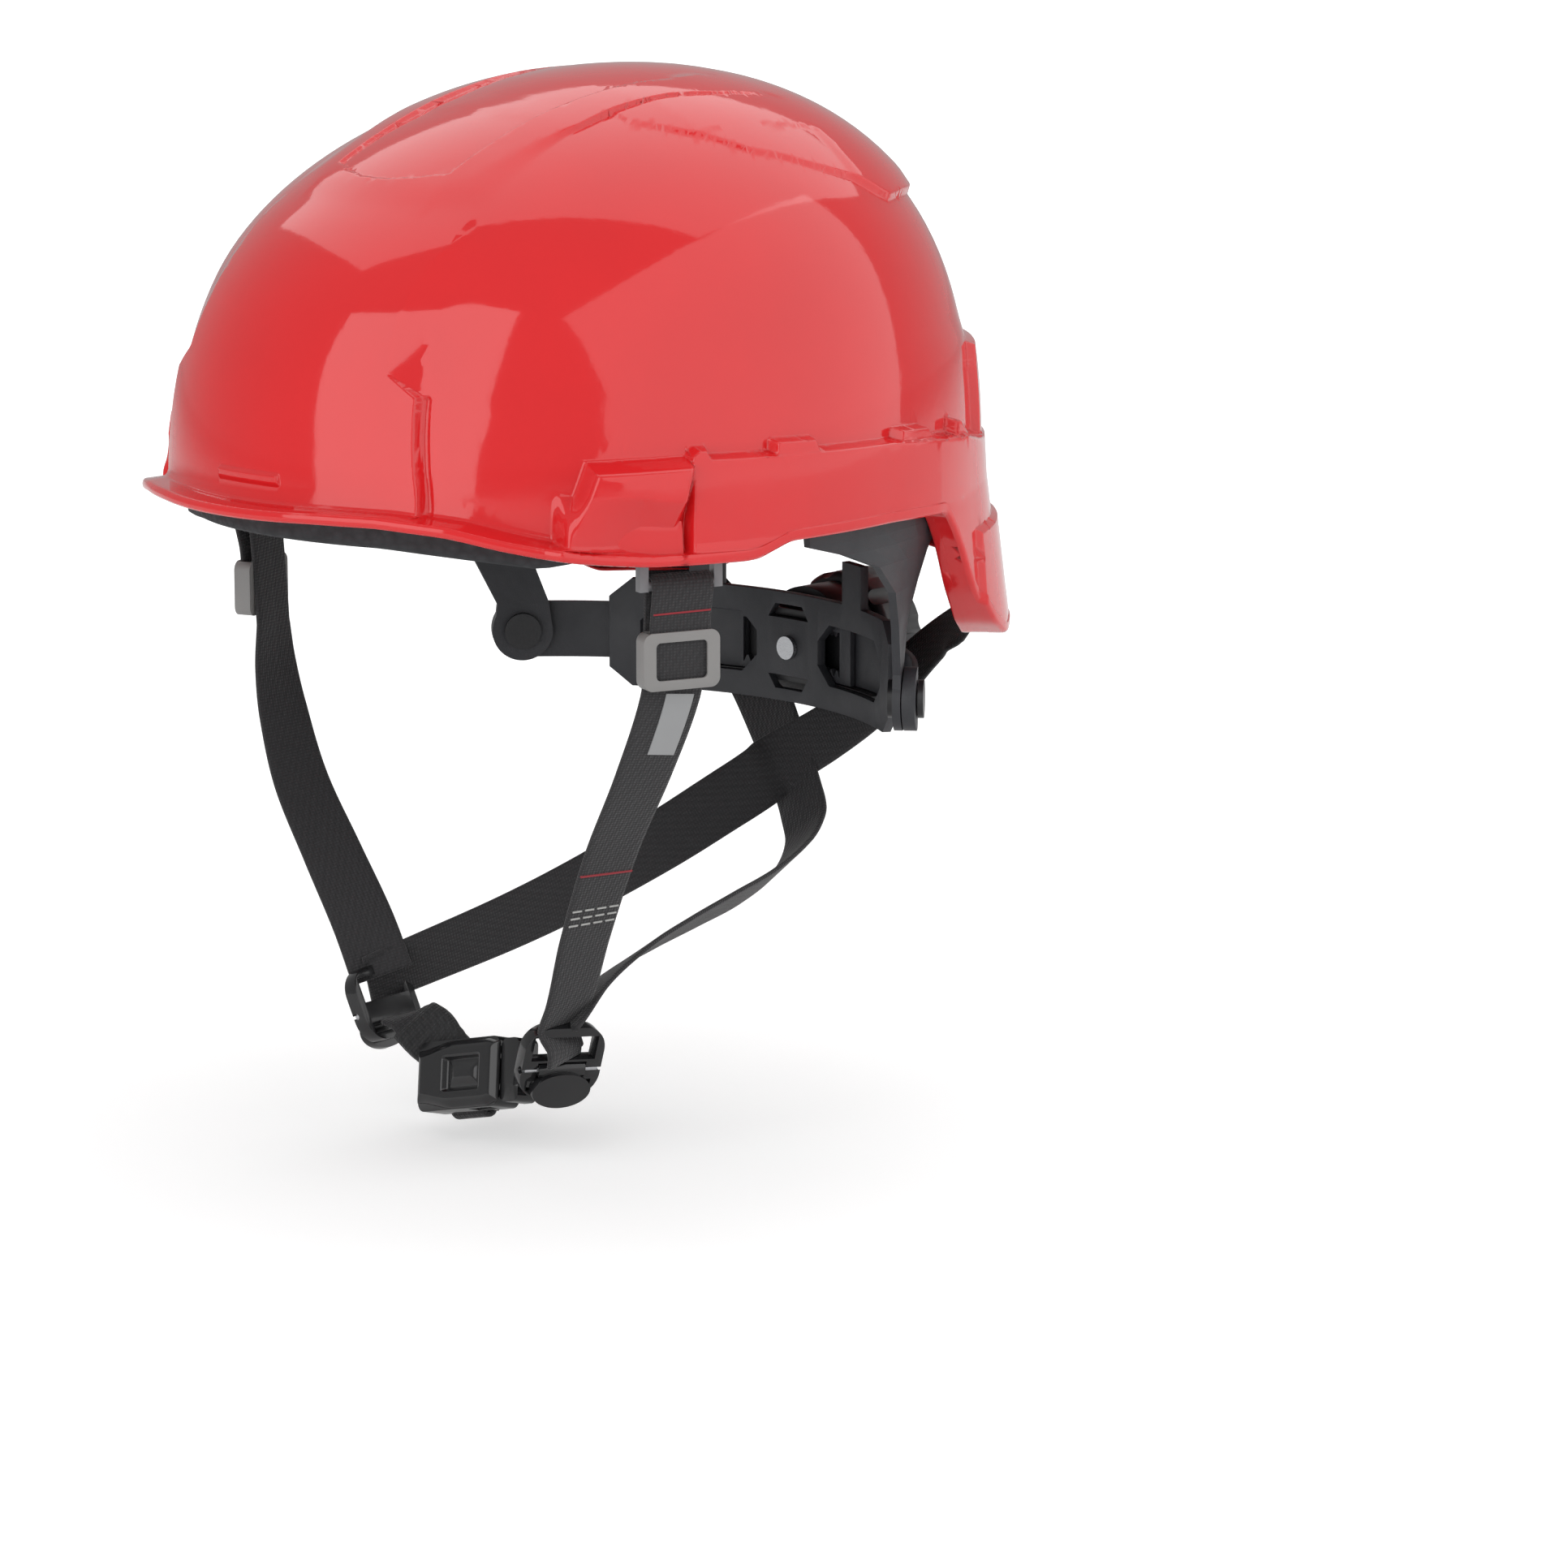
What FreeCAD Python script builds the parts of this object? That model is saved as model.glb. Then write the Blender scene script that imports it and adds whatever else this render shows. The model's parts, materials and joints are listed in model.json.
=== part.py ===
import FreeCAD, Part
import math
import os

# Helmet with a hanging chin harness and a ratchet headband.
# Frame: +Z up, the wearer looks along -Y, the wearer's left is +X.
# The origin is the centre of the head opening, at the level of the front brim.

V = FreeCAD.Vector

# ---- shell ----
SHELL_HALF_WIDTH = 111.0
SHELL_HALF_LENGTH = 134.8
SHELL_HEIGHT = 127.4
SHELL_WALL = 2.6
SHOULDER_POWER = 2.83
ROUND_POWER = 2.02
CROWN_SHIFT = 16.7
CROWN_SHIFT_POWER = 3.26
SHELL_CENTRE_Y = 1.2
SKIRT_FLARE = 0.07
SKIRT_DEPTH = 50.0
SECTION_SHARES = (0.15, 0.3, 0.45, 0.58, 0.69, 0.78, 0.855, 0.91, 0.95, 0.978, 0.993, 0.9995)

# ---- brim and lower rim, seen from the side ----
BRIM_OVERHANG_SIDE = 5.0
BRIM_OVERHANG_FRONT = 14.0
BRIM_THICKNESS = 3.5
BRIM_FRONT_Z = 5.0
BRIM_REAR_Y = -24.0
RIM_SIDE_Z = -7.2
RIM_REAR_STEP_Z = -3.2
REAR_RIM_Z = -32.0
REAR_RIM_HALF_WIDTH = 47.0
LEG_FRONT_TOP_Y = 55.0
LEG_FRONT_SLOPE_Y = 33.0
LEG_TIP_Z = -49.0
LEG_ANGLE = 52.0

# ---- raised features of the shell ----
FRONT_PANEL_PROUD = 3.4
FRONT_PANEL_HALF_WIDTH = 55.0
FRONT_PANEL_TOP = 44.0
UPPER_PANEL_PROUD = 1.4
CROWN_PANEL_PROUD = 2.0
CROWN_PANEL_HALF_WIDTH = 27.0
CREST_PROUD = 1.2
BAND_PROUD = 4.8
BAND_BACK_PROUD = 5.2
BAND_CORNER_Y = 84.0
LEG_STEP_Z = -14.0
BAND_TOP_FRONT = 26.5
BAND_TOP_REAR = 14.0
REAR_PANEL_PROUD = 3.0
REAR_PANEL_HALF_WIDTH = 76.0
REAR_PANEL_TOP = 43.0
REAR_RIB_PROUD = 2.2
FRONT_CREST_PROUD = 2.0
LAMP_LEDGE_WIDTH = 36.0
LAMP_LEDGE_Z = 13.0
LAMP_LEDGE_HEIGHT = 2.6
LAMP_LEDGE_PROUD = 5.4

# ---- accessory slots, one each side ----
SLOT_PROUD = 8.6
SLOT_GAP = 6.4
SLOT_COVER = 2.0
SLOT_FRONT_Y = -84.0
SLOT_REAR_Y = -50.0
SLOT_END_WALL = 3.0
SLOT_TOP_Z = 24.5
SLOT_ROOF = 4.0

# ---- foam liner and comfort pads ----
LINER_THICKNESS = 17.0
SKIN_GAP = 0.3
SEAT_GAP = 0.1
LINER_SIDE_Z = 13.5
LINER_FRONT_Z = 1.0
PAD_THICKNESS = 5.0
BROW_PAD_HALF_WIDTH = 62.0
BROW_PAD_TOP = 22.0
CROWN_PAD_WIDTH = 26.0
CROWN_PAD_SPACING = 38.0
CROWN_PAD_LOW_Z = 74.0

# ---- rear headband ----
BAND_RADIUS = 114.0
BAND_CENTRE_Y = -14.0
BAND_Z = -65.0
RACK_THICKNESS = 1.8
RACK_LAYER_GAP = 0.4
RACK_HALF_HEIGHT = 9.3
RACK_INNER_ANGLE = -14.4
RACK_SLOT_ANGLE = 11.2
LOBE_ANGLE = 50.5
LOBE_RADIUS = 10.0
STRUT_THICKNESS = 2.6
STRUT_FRONT_Y = -9.0
STRUT_REAR_Y = 62.0
STRUT_TOP_Z = 6.0
RIVET_RADIUS = 3.0
RIVET_HEAD_RADIUS = 6.0
RIVET_HEAD_THICKNESS = 1.8
RUNNING_CLEARANCE = 0.06
CRADLE_THICKNESS = 2.8
CRADLE_HALF_ANGLE = 35.4
CRADLE_HALF_HEIGHT = 18.0
CRADLE_LUG_ANGLE = 17.6
CRADLE_LUG_WIDTH = 12.5
CRADLE_LUG_RISE = 14.0
WINDOW_INNER_ANGLE = 7.6
WINDOW_OUTER_ANGLE = 29.5
WINDOW_HALF_HEIGHT = 10.0
HOUSING_HALF_ANGLE = 22.4
HOUSING_WALL = 2.4
PART_GAP = 0.4

# ---- ratchet ----
PINION_TEETH = 12
TOOTH_MODULE = 1.0
PRESSURE_ANGLE = 25.0
TOOTH_BACKLASH = 0.36
RACK_ADDENDUM = 0.8
TOOTH_DEDENDUM = 1.3
SHAFT_RADIUS = 3.6
DRUM_RADIUS = 19.0
DRUM_LENGTH = 13.0
KNOB_RADIUS = 22.0
KNOB_LENGTH = 18.0
KNOB_GRIPS = 12
KNOB_GRIP_RADIUS = 3.4
ACCENT_RADIUS = 14.0
ACCENT_WIDTH = 2.2
DETENT_TEETH = 24
DETENT_DEPTH = 1.2
SCREW_RADIUS = 2.0
SCREW_HEAD_RADIUS = 3.8

# ---- webbing harness ----
WEBBING_WIDTH = 20.0
WEBBING_THICKNESS = 1.6
HANGER_Y = -52.0
HANGER_INSET = 3.6
HANGER_WIDTH = 27.0
HANGER_THICKNESS = 3.2
HANGER_BAR_Z = -14.0
HANGER_BAR_RADIUS = 1.6
HANGER_TOP_Z = 12.0
HANGER_PIN_RADIUS = 2.0
HANGER_PIN_HEAD = 4.2
SLIDER_DROP = 23.0
SLIDER_HEIGHT = 17.5
SLIDER_WIDTH = 25.0
SLIDER_THICKNESS = 5.6
SLIDER_RIM = 3.0
ANCHOR_PIN_RADIUS = 2.2
ANCHOR_HEAD_RADIUS = 5.6
DIVIDER_LEFT = V(36.5, -45.0, -171.0)
DIVIDER_RIGHT = V(-43.0, -46.0, -166.0)
DIVIDER_WIDTH = 27.5
DIVIDER_HEIGHT = 24.0
DIVIDER_THICKNESS = 4.6
STRAP_SLOT_Z = 5.0
STRAP_SLOT_HEIGHT = 8.0
CHIN_SLOT_Z = -7.6
CHIN_SLOT_HEIGHT = 3.4
STRAP_LEVEL = DIVIDER_THICKNESS / 2 + SKIN_GAP + WEBBING_THICKNESS / 2
LEVER_HALF_WIDTH = 10.0
LEVER_HALF_HEIGHT = 5.8
LEVER_HALF_LENGTH = 8.0
LEVER_THICKNESS = 2.6
LEVER_DROP = 6.0
LEVER_PIN_RADIUS = 1.2
LEVER_PIN_X = 1.2
LEVER_PIN_Z = -2.4
LEVER_HUB_ROOM = 2.6
TAG_LENGTH = 21.0
TAG_WIDTH = 9.0
TAG_THICKNESS = 0.5
TAG_OFFSET = 2.0
# Where each strap bows off the straight line: share of the way, then the offset in X, Y and Z.
FRONT_BOWS_LEFT = [(0.22, -4.6, 0, 0), (0.45, -7.4, 0, 0), (0.7, -7.0, 0, 0), (0.88, -3.6, 0, 0)]
FRONT_BOWS_RIGHT = [(0.12, -4.2, 0, 0), (0.26, -7.0, 0, 0), (0.46, -7.2, 0, 0), (0.66, -4.0, 0, 0),
                    (0.85, -0.5, 0, 0)]
FRONT_BOWS = {1: FRONT_BOWS_LEFT, -1: FRONT_BOWS_RIGHT}
FRONT_LAST_WIDTH = {1: V(-0.08, 0.99, 0), -1: V(0.62, 0.75, 0.15)}
REAR_BOWS_LEFT = [(0.14, 0.5, 3.6, 1.5), (0.28, 1.0, 6.5, 2.5), (0.44, 1.5, 8.5, 2.0),
                  (0.62, 1.5, 8.2, 0.5), (0.82, 1.0, 4.6, 0.0)]
REAR_BOWS_RIGHT = [(0.14, -0.5, 3.6, 1.5), (0.28, -1.0, 6.5, 2.5), (0.44, -1.5, 8.5, 2.0),
                   (0.62, -1.5, 8.0, 0.5), (0.82, -1.0, 4.4, 0.0)]
REAR_BOWS = {1: REAR_BOWS_LEFT, -1: REAR_BOWS_RIGHT}
REAR_CROSSING = V(0.0, 92.0, -102.5)
CROSSING_GAP = 5.0
TIGHT_BOWS = [(0.06, 1.7, 1.2, -0.6), (0.15, 1.0, 0.8, -2.6), (0.3, 0.5, 0.3, -5.0),
              (0.5, 1.1, 0.2, -5.6), (0.67, 1.4, 0.0, -4.4), (0.87, 1.6, 0.0, -1.4)]
LOOSE_BOWS = [(0.05, 9.0, 1.6, -7.4), (0.1, 13.3, 4.3, -12.3), (0.18, 14.5, 5.1, -14.8),
              (0.33, 13.8, 5.4, -11.5), (0.49, 12.4, 4.0, -5.0), (0.64, 9.6, 3.3, 0.6),
              (0.78, 6.0, 3.0, 4.4), (0.91, 2.0, 2.0, 4.5)]
CROSSING_WIDTH = {1: V(-0.45, 0.12, 0.88), -1: V(0.6, 0.2, 0.77)}
REAR_LAST_WIDTH = {1: V(0.35, -0.1, 0.93), -1: V(0.8, 0.25, 0.5)}

# ---- chin buckle ----
BUCKLE_START = V(20.6, -47.0, -177.0)
BUCKLE_END = V(-28.0, -47.0, -189.0)
BUCKLE_WIDTH = 22.0
BUCKLE_THICKNESS = 9.0
BUCKLE_WALL = 1.7
SOCKET_LENGTH = 38.0
TONGUE_LENGTH = 15.0
TONGUE_WIDTH = 8.0
ARM_WIDTH = 2.2
ARM_INSET = 5.2
CHIN_BAR_RADIUS = 1.4
CHIN_BAR_DEPTH = 4.4
CHIN_BAR_LENGTH = 21.0
CHIN_BAR_MIDDLE = 31.0
CHIN_BAR_Y = -9.0
CHIN_STRAP_WIDTH = 16.0
SLEEVE_SPAN = (0.15, 0.72)
SLEEVE_WALL = 0.8
SLEEVE_GAP = 0.6
SLEEVE_SAG = V(0.0, 7.0, 3.0)
PLUG_BASE_LENGTH = 8.0
TONGUE_THICKNESS = 3.0
PLUG_NECK_THICKNESS = 4.0
PLUG_NECK_WIDTH = 9.0
PLUG_NECK_INSET = 3.0
CAVITY_SPARE = 2.0
SOCKET_CORNER = 3.0
SOCKET_WINDOW_START = 10.9
CAVITY_THICKNESS = 4.8

FAR = 400.0


# ================= shared shapes =================
def section(z, offset):
    """Half width, half length and centre Y of the shell's outside, moved out by offset, at height z."""
    if z <= 0:
        spread = offset - SKIRT_FLARE * z
        return SHELL_HALF_WIDTH + spread, SHELL_HALF_LENGTH + spread, SHELL_CENTRE_Y
    share = min(z / (SHELL_HEIGHT + offset), 1.0)
    size = (1 - share ** SHOULDER_POWER) ** (1 / ROUND_POWER)
    shift = SHELL_CENTRE_Y + CROWN_SHIFT * share ** CROWN_SHIFT_POWER
    return (SHELL_HALF_WIDTH + offset) * size, (SHELL_HALF_LENGTH + offset) * size, shift


def wall_point(y, z, offset, side):
    """Point on the offset surface at a given Y and Z, on the side with X positive or negative."""
    half_width, half_length, shift = section(z, offset)
    reach = math.sqrt(1 - ((y - shift) / half_length) ** 2)
    return V(side * half_width * reach, y, z)


def wall_normal(point, offset):
    """Level unit vector that points out of the offset surface."""
    half_width, half_length, shift = section(point.z, offset)
    normal = V(point.x / half_width ** 2, (point.y - shift) / half_length ** 2, 0)
    return normal.normalize()


def ellipse_wire(half_width, half_length, centre_y, z):
    """Level ellipse with its long axis along Y."""
    centre = V(0, centre_y, z)
    curve = Part.Ellipse(centre + V(0, half_length, 0), centre + V(half_width, 0, 0), centre)
    return Part.Wire([curve.toShape()])


def dome(offset):
    """Closed solid under the shell's outside surface moved out by offset, down to the skirt."""
    top = SHELL_HEIGHT + offset
    levels = [-SKIRT_DEPTH, -SKIRT_DEPTH / 2, 0.0]
    levels += [share * top for share in SECTION_SHARES]
    wires = []
    for level in levels:
        half_width, half_length, shift = section(level, offset)
        wires.append(ellipse_wire(half_width, half_length, shift, level))
    return Part.makeLoft(wires, True, False)


def polygon_face(points):
    return Part.Face(Part.makePolygon(points + [points[0]]))


def side_region(outline):
    """Prism right across the helmet from an outline of (y, z) points."""
    return polygon_face([V(-FAR, y, z) for y, z in outline]).extrude(V(2 * FAR, 0, 0))


def front_region(outline, y0, y1):
    """Prism along Y from an outline of (x, z) points."""
    return polygon_face([V(x, y0, z) for x, z in outline]).extrude(V(0, y1 - y0, 0))


def plan_region(outline, z0, z1):
    """Prism along Z from an outline of (x, y) points."""
    return polygon_face([V(x, y, z0) for x, y in outline]).extrude(V(0, 0, z1 - z0))


def block(x0, x1, y0, y1, z0, z1):
    return Part.makeBox(x1 - x0, y1 - y0, z1 - z0, V(x0, y0, z0))


def mirrored_outline(outline):
    """Outline of (x, z) points closed by its own mirror image about x = 0."""
    return outline + [(-x, z) for x, z in reversed(outline)]


def placed(shape, origin, x_axis, z_axis):
    """Local shape moved so that its x and z axes lie along the given directions."""
    z_unit = V(z_axis).normalize()
    y_unit = z_unit.cross(x_axis).normalize()
    x_unit = y_unit.cross(z_unit)
    matrix = FreeCAD.Matrix(x_unit.x, y_unit.x, z_unit.x, origin.x,
                            x_unit.y, y_unit.y, z_unit.y, origin.y,
                            x_unit.z, y_unit.z, z_unit.z, origin.z,
                            0, 0, 0, 1)
    moved = shape.copy()
    moved.Placement = FreeCAD.Placement(matrix)
    return moved


def fused(shapes):
    """One shape from several."""
    whole = shapes[0]
    for shape in shapes[1:]:
        whole = whole.fuse(shape)
    return whole.removeSplitter()


def save(name, shape):
    """Write one node and report its solids and volume."""
    solids = shape.Solids
    shape = solids[0] if len(solids) == 1 else Part.makeCompound(solids)
    shape.exportStep("parts/" + name + ".step")
    valid = all(solid.isValid() for solid in solids)
    state = "valid" if valid else "INVALID"
    print(name, len(solids), "solid(s)", round(shape.Volume, 1), "mm3", state)


# ================= shell =================
def rim_line():
    """Lower edge of the brim, front to back, as (y, z) points."""
    front = -SHELL_HALF_LENGTH - BRIM_OVERHANG_FRONT
    return [(front - 2, BRIM_FRONT_Z), (front + 16, BRIM_FRONT_Z - 1.4), (front + 32, BRIM_FRONT_Z - 5.0),
            (front + 48, BRIM_FRONT_Z - 8.4), (front + 66, RIM_SIDE_Z + 0.9), (front + 86, RIM_SIDE_Z),
            (BRIM_REAR_Y - 5, RIM_SIDE_Z), (BRIM_REAR_Y + 4, RIM_REAR_STEP_Z)]


def brim():
    """Lip that stands out round the front and fades along the sides."""
    lower = rim_line()[:-1] + [(BRIM_REAR_Y, RIM_SIDE_Z)]
    upper = [(y, z + BRIM_THICKNESS) for y, z in reversed(lower)]
    strip = side_region(lower + upper)
    plan = ellipse_wire(SHELL_HALF_WIDTH + BRIM_OVERHANG_SIDE, SHELL_HALF_LENGTH + BRIM_OVERHANG_FRONT,
                        SHELL_CENTRE_Y, -FAR / 2)
    return strip.common(Part.Face(plan).extrude(V(0, 0, FAR)))


def raised_front():
    """Forehead panel, the shallower panel above it and the lamp ledge."""
    wide = FRONT_PANEL_HALF_WIDTH
    lower = mirrored_outline([(wide + 2.5, 4.0), (wide, FRONT_PANEL_TOP), (wide - 10, FRONT_PANEL_TOP + 8)])
    upper = mirrored_outline([(wide - 10, FRONT_PANEL_TOP), (wide - 6, 88.0)])
    half = LAMP_LEDGE_WIDTH / 2
    ledge = block(-half, half, -FAR, 0, LAMP_LEDGE_Z, LAMP_LEDGE_Z + LAMP_LEDGE_HEIGHT)
    return [dome(FRONT_PANEL_PROUD).common(front_region(lower, -FAR, 0)),
            dome(UPPER_PANEL_PROUD).common(front_region(upper, -FAR, 0)),
            dome(LAMP_LEDGE_PROUD).common(ledge)]


def raised_crown():
    """Raised panel on the crown and the swept crest beside it."""
    half = CROWN_PANEL_HALF_WIDTH
    panel = [(-half, -86), (half, -86), (half + 19, -16), (half + 23, 44), (half + 6, 104),
             (-half - 6, 104), (-half - 23, 44), (-half - 19, -16)]
    crest = [(-30, 104), (20, 111), (70, 103), (92, 88), (104, 78), (122, 84), (122, 136), (-30, 136)]
    front_crest = [(-134, 82), (-96, 86), (-64, 100), (-30, 104), (-30, 136), (-134, 136)]
    return [dome(CROWN_PANEL_PROUD).common(plan_region(panel, 60, FAR)),
            dome(CREST_PROUD).common(side_region(crest)),
            dome(FRONT_CREST_PROUD).common(side_region(front_crest))]


def raised_band():
    """Raised band round the sides, its shallower part round the back, and the thick rear legs."""
    rear = SHELL_HALF_LENGTH + 4 * BAND_PROUD
    sides = [(-52, -SKIRT_DEPTH), (-46, BAND_TOP_FRONT), (-20, BAND_TOP_FRONT - 0.7),
             (45, BAND_TOP_FRONT - 5),
             (BAND_CORNER_Y, BAND_TOP_REAR + 1.5), (BAND_CORNER_Y, -SKIRT_DEPTH)]
    back = [(BAND_CORNER_Y - 8, -SKIRT_DEPTH), (BAND_CORNER_Y - 8, BAND_TOP_REAR + 2),
            (100, BAND_TOP_REAR), (rear, BAND_TOP_REAR), (rear, -SKIRT_DEPTH)]
    legs = [(BAND_CORNER_Y - 14, -SKIRT_DEPTH), (BAND_CORNER_Y - 14, LEG_STEP_Z), (rear, LEG_STEP_Z),
            (rear, -SKIRT_DEPTH)]
    return [dome(BAND_PROUD).common(side_region(sides)),
            dome(BAND_BACK_PROUD).common(side_region(back)),
            dome(BAND_PROUD - 0.6).common(side_region(legs))]


def slot_box():
    """Box on each side that carries the accessory slot."""
    outline = [(SLOT_FRONT_Y - 3, RIM_SIDE_Z + BRIM_THICKNESS), (SLOT_FRONT_Y + 4, SLOT_TOP_Z - 3),
               (SLOT_REAR_Y, SLOT_TOP_Z), (SLOT_REAR_Y, RIM_SIDE_Z)]
    return dome(SLOT_PROUD).common(side_region(outline))


def slot_pocket():
    """Space inside each slot box, open at the bottom."""
    floor = SLOT_PROUD - SLOT_COVER
    front = SLOT_FRONT_Y + SLOT_END_WALL
    rear = SLOT_REAR_Y - SLOT_END_WALL
    top = SLOT_TOP_Z - SLOT_ROOF
    outline = [(front + 2, -SKIRT_DEPTH), (front + 6, top - 3), (rear, top), (rear, -SKIRT_DEPTH)]
    return dome(floor).cut(dome(floor - SLOT_GAP)).common(side_region(outline))


def raised_back():
    """Panel across the back above the band, and the upright rib down its middle."""
    wide = REAR_PANEL_HALF_WIDTH
    top = REAR_PANEL_TOP
    panel = mirrored_outline([(wide, 0), (wide - 2, top), (wide - 12, top + 6)])
    rib = mirrored_outline([(13, -SKIRT_DEPTH), (17, 62), (9, 92)])
    return [dome(REAR_PANEL_PROUD).common(front_region(panel, 0, FAR)),
            dome(REAR_RIB_PROUD).common(front_region(rib, 0, FAR))]


def below_rim():
    """Everything under the lower edge, seen from the side."""
    slope_end = LEG_FRONT_TOP_Y + LEG_FRONT_SLOPE_Y
    line = rim_line() + [(LEG_FRONT_TOP_Y, RIM_REAR_STEP_Z), (slope_end, LEG_TIP_Z + 6),
                         (slope_end + 9, LEG_TIP_Z), (FAR, LEG_TIP_Z), (FAR, -FAR), (-FAR, -FAR), (-FAR, -0.5)]
    return side_region(line)


def between_legs():
    """Opening under the back edge, between the two rear legs."""
    half = REAR_RIM_HALF_WIDTH
    outline = mirrored_outline([(half + 12, -FAR), (half + 8, LEG_TIP_Z), (half, REAR_RIM_Z)])
    return front_region(outline, SHELL_HALF_LENGTH / 2, FAR)


def make_shell():
    """Outer shell with its brim, raised features, slots and rear legs."""
    solid = dome(0.0)
    features = raised_band() + raised_back() + raised_front() + raised_crown()
    for feature in features + [brim(), slot_box()]:
        solid = solid.fuse(feature)
    for cutter in [below_rim(), between_legs(), slot_pocket(), dome(-SHELL_WALL)]:
        solid = solid.cut(cutter)
    for side in (1, -1):
        solid = solid.cut(anchor_hole(side))
        solid = solid.cut(hanger_pin_hole(side))
    return solid


# ================= liner and pads =================
def make_liner():
    """Foam liner that follows the shell, with room at the sides for the hangers and struts."""
    outer = -SHELL_WALL - SKIN_GAP
    body = dome(outer).cut(dome(outer - LINER_THICKNESS))
    line = [(-FAR, LINER_FRONT_Z), (-125, LINER_FRONT_Z - 3), (-94, LINER_FRONT_Z - 8.5),
            (-82, LINER_FRONT_Z - 6.5), (-72, LINER_FRONT_Z), (-66, LINER_SIDE_Z), (94, LINER_SIDE_Z),
            (108, -16), (FAR, -16), (FAR, -FAR), (-FAR, -FAR)]
    return body.cut(side_region(line))


def pad_skin():
    """Thin dome layer against the liner's inside, from which the comfort pads are cut."""
    outer = -SHELL_WALL - LINER_THICKNESS - 2 * SKIN_GAP
    return dome(outer).cut(dome(outer - PAD_THICKNESS))


def make_brow_pad():
    half = BROW_PAD_HALF_WIDTH
    outline = mirrored_outline([(half, LINER_FRONT_Z + 1), (half, BROW_PAD_TOP - 4), (half - 6, BROW_PAD_TOP)])
    return pad_skin().common(front_region(outline, -FAR, 0))


def make_crown_pad(index):
    middle = index * CROWN_PAD_SPACING
    half = CROWN_PAD_WIDTH / 2
    return pad_skin().common(block(middle - half, middle + half, -FAR, FAR, CROWN_PAD_LOW_Z, FAR))


# ================= rear headband =================
def band_point(radius, angle, z):
    """Point on the headband's circle; the angle runs from straight back towards +X."""
    turn = math.radians(angle)
    return V(radius * math.sin(turn), BAND_CENTRE_Y + radius * math.cos(turn), z)


def band_direction(angle):
    turn = math.radians(angle)
    return V(math.sin(turn), math.cos(turn), 0)


def band_sector(r0, r1, angle0, angle1, z0, z1):
    """Curved bar between two radii, two angles and two heights."""
    middle = (angle0 + angle1) / 2
    outer = Part.Arc(band_point(r1, angle0, z0), band_point(r1, middle, z0), band_point(r1, angle1, z0))
    inner = Part.Arc(band_point(r0, angle1, z0), band_point(r0, middle, z0), band_point(r0, angle0, z0))
    ends = [Part.LineSegment(band_point(r1, angle1, z0), band_point(r0, angle1, z0)),
            Part.LineSegment(band_point(r0, angle0, z0), band_point(r1, angle0, z0))]
    edges = [outer.toShape(), ends[0].toShape(), inner.toShape(), ends[1].toShape()]
    return Part.Face(Part.Wire(edges)).extrude(V(0, 0, z1 - z0))


def radial_cylinder(radius, r0, r1, angle, z):
    """Cylinder whose axis runs outwards from the headband's centre."""
    return Part.makeCylinder(radius, r1 - r0, band_point(r0, angle, z), band_direction(angle))


def radial_prism(outline, r0, r1, angle):
    """Prism along the outward direction from an outline of (along the band, up) points."""
    direction = band_direction(angle)
    along = V(direction.y, -direction.x, 0)
    base = band_point(r0, angle, BAND_Z)
    points = [base + along * s + V(0, 0, h) for s, h in outline]
    return polygon_face(points).extrude(direction * (r1 - r0))


def layer_radii(side):
    """Inner and outer radius of the rack on one side; the two racks slide over each other."""
    half_gap = RACK_LAYER_GAP / 2
    if side > 0:
        return BAND_RADIUS + half_gap, BAND_RADIUS + half_gap + RACK_THICKNESS
    return BAND_RADIUS - half_gap - RACK_THICKNESS, BAND_RADIUS - half_gap


def tooth_half_width(height, at_pitch):
    """Half the width of a straight-sided tooth at a height above the pitch line."""
    return at_pitch - height * math.tan(math.radians(PRESSURE_ANGLE))


def rack_tooth(radius, angle, up):
    """One rack tooth that points at the pinion; up is 1 when it hangs from the upper edge."""
    pitch_height = PINION_TEETH * TOOTH_MODULE / 2
    at_pitch = math.pi * TOOTH_MODULE / 4 - TOOTH_BACKLASH / 4
    tip = tooth_half_width(RACK_ADDENDUM, at_pitch)
    root = tooth_half_width(-TOOTH_DEDENDUM - 0.2, at_pitch)
    low = up * (pitch_height - RACK_ADDENDUM)
    high = up * (pitch_height + TOOTH_DEDENDUM + 0.2)
    outline = [(-tip, low), (tip, low), (root, high), (-root, high)]
    return radial_prism(outline, radius - 1.5, radius + 1.5 + RACK_THICKNESS, angle)


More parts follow.
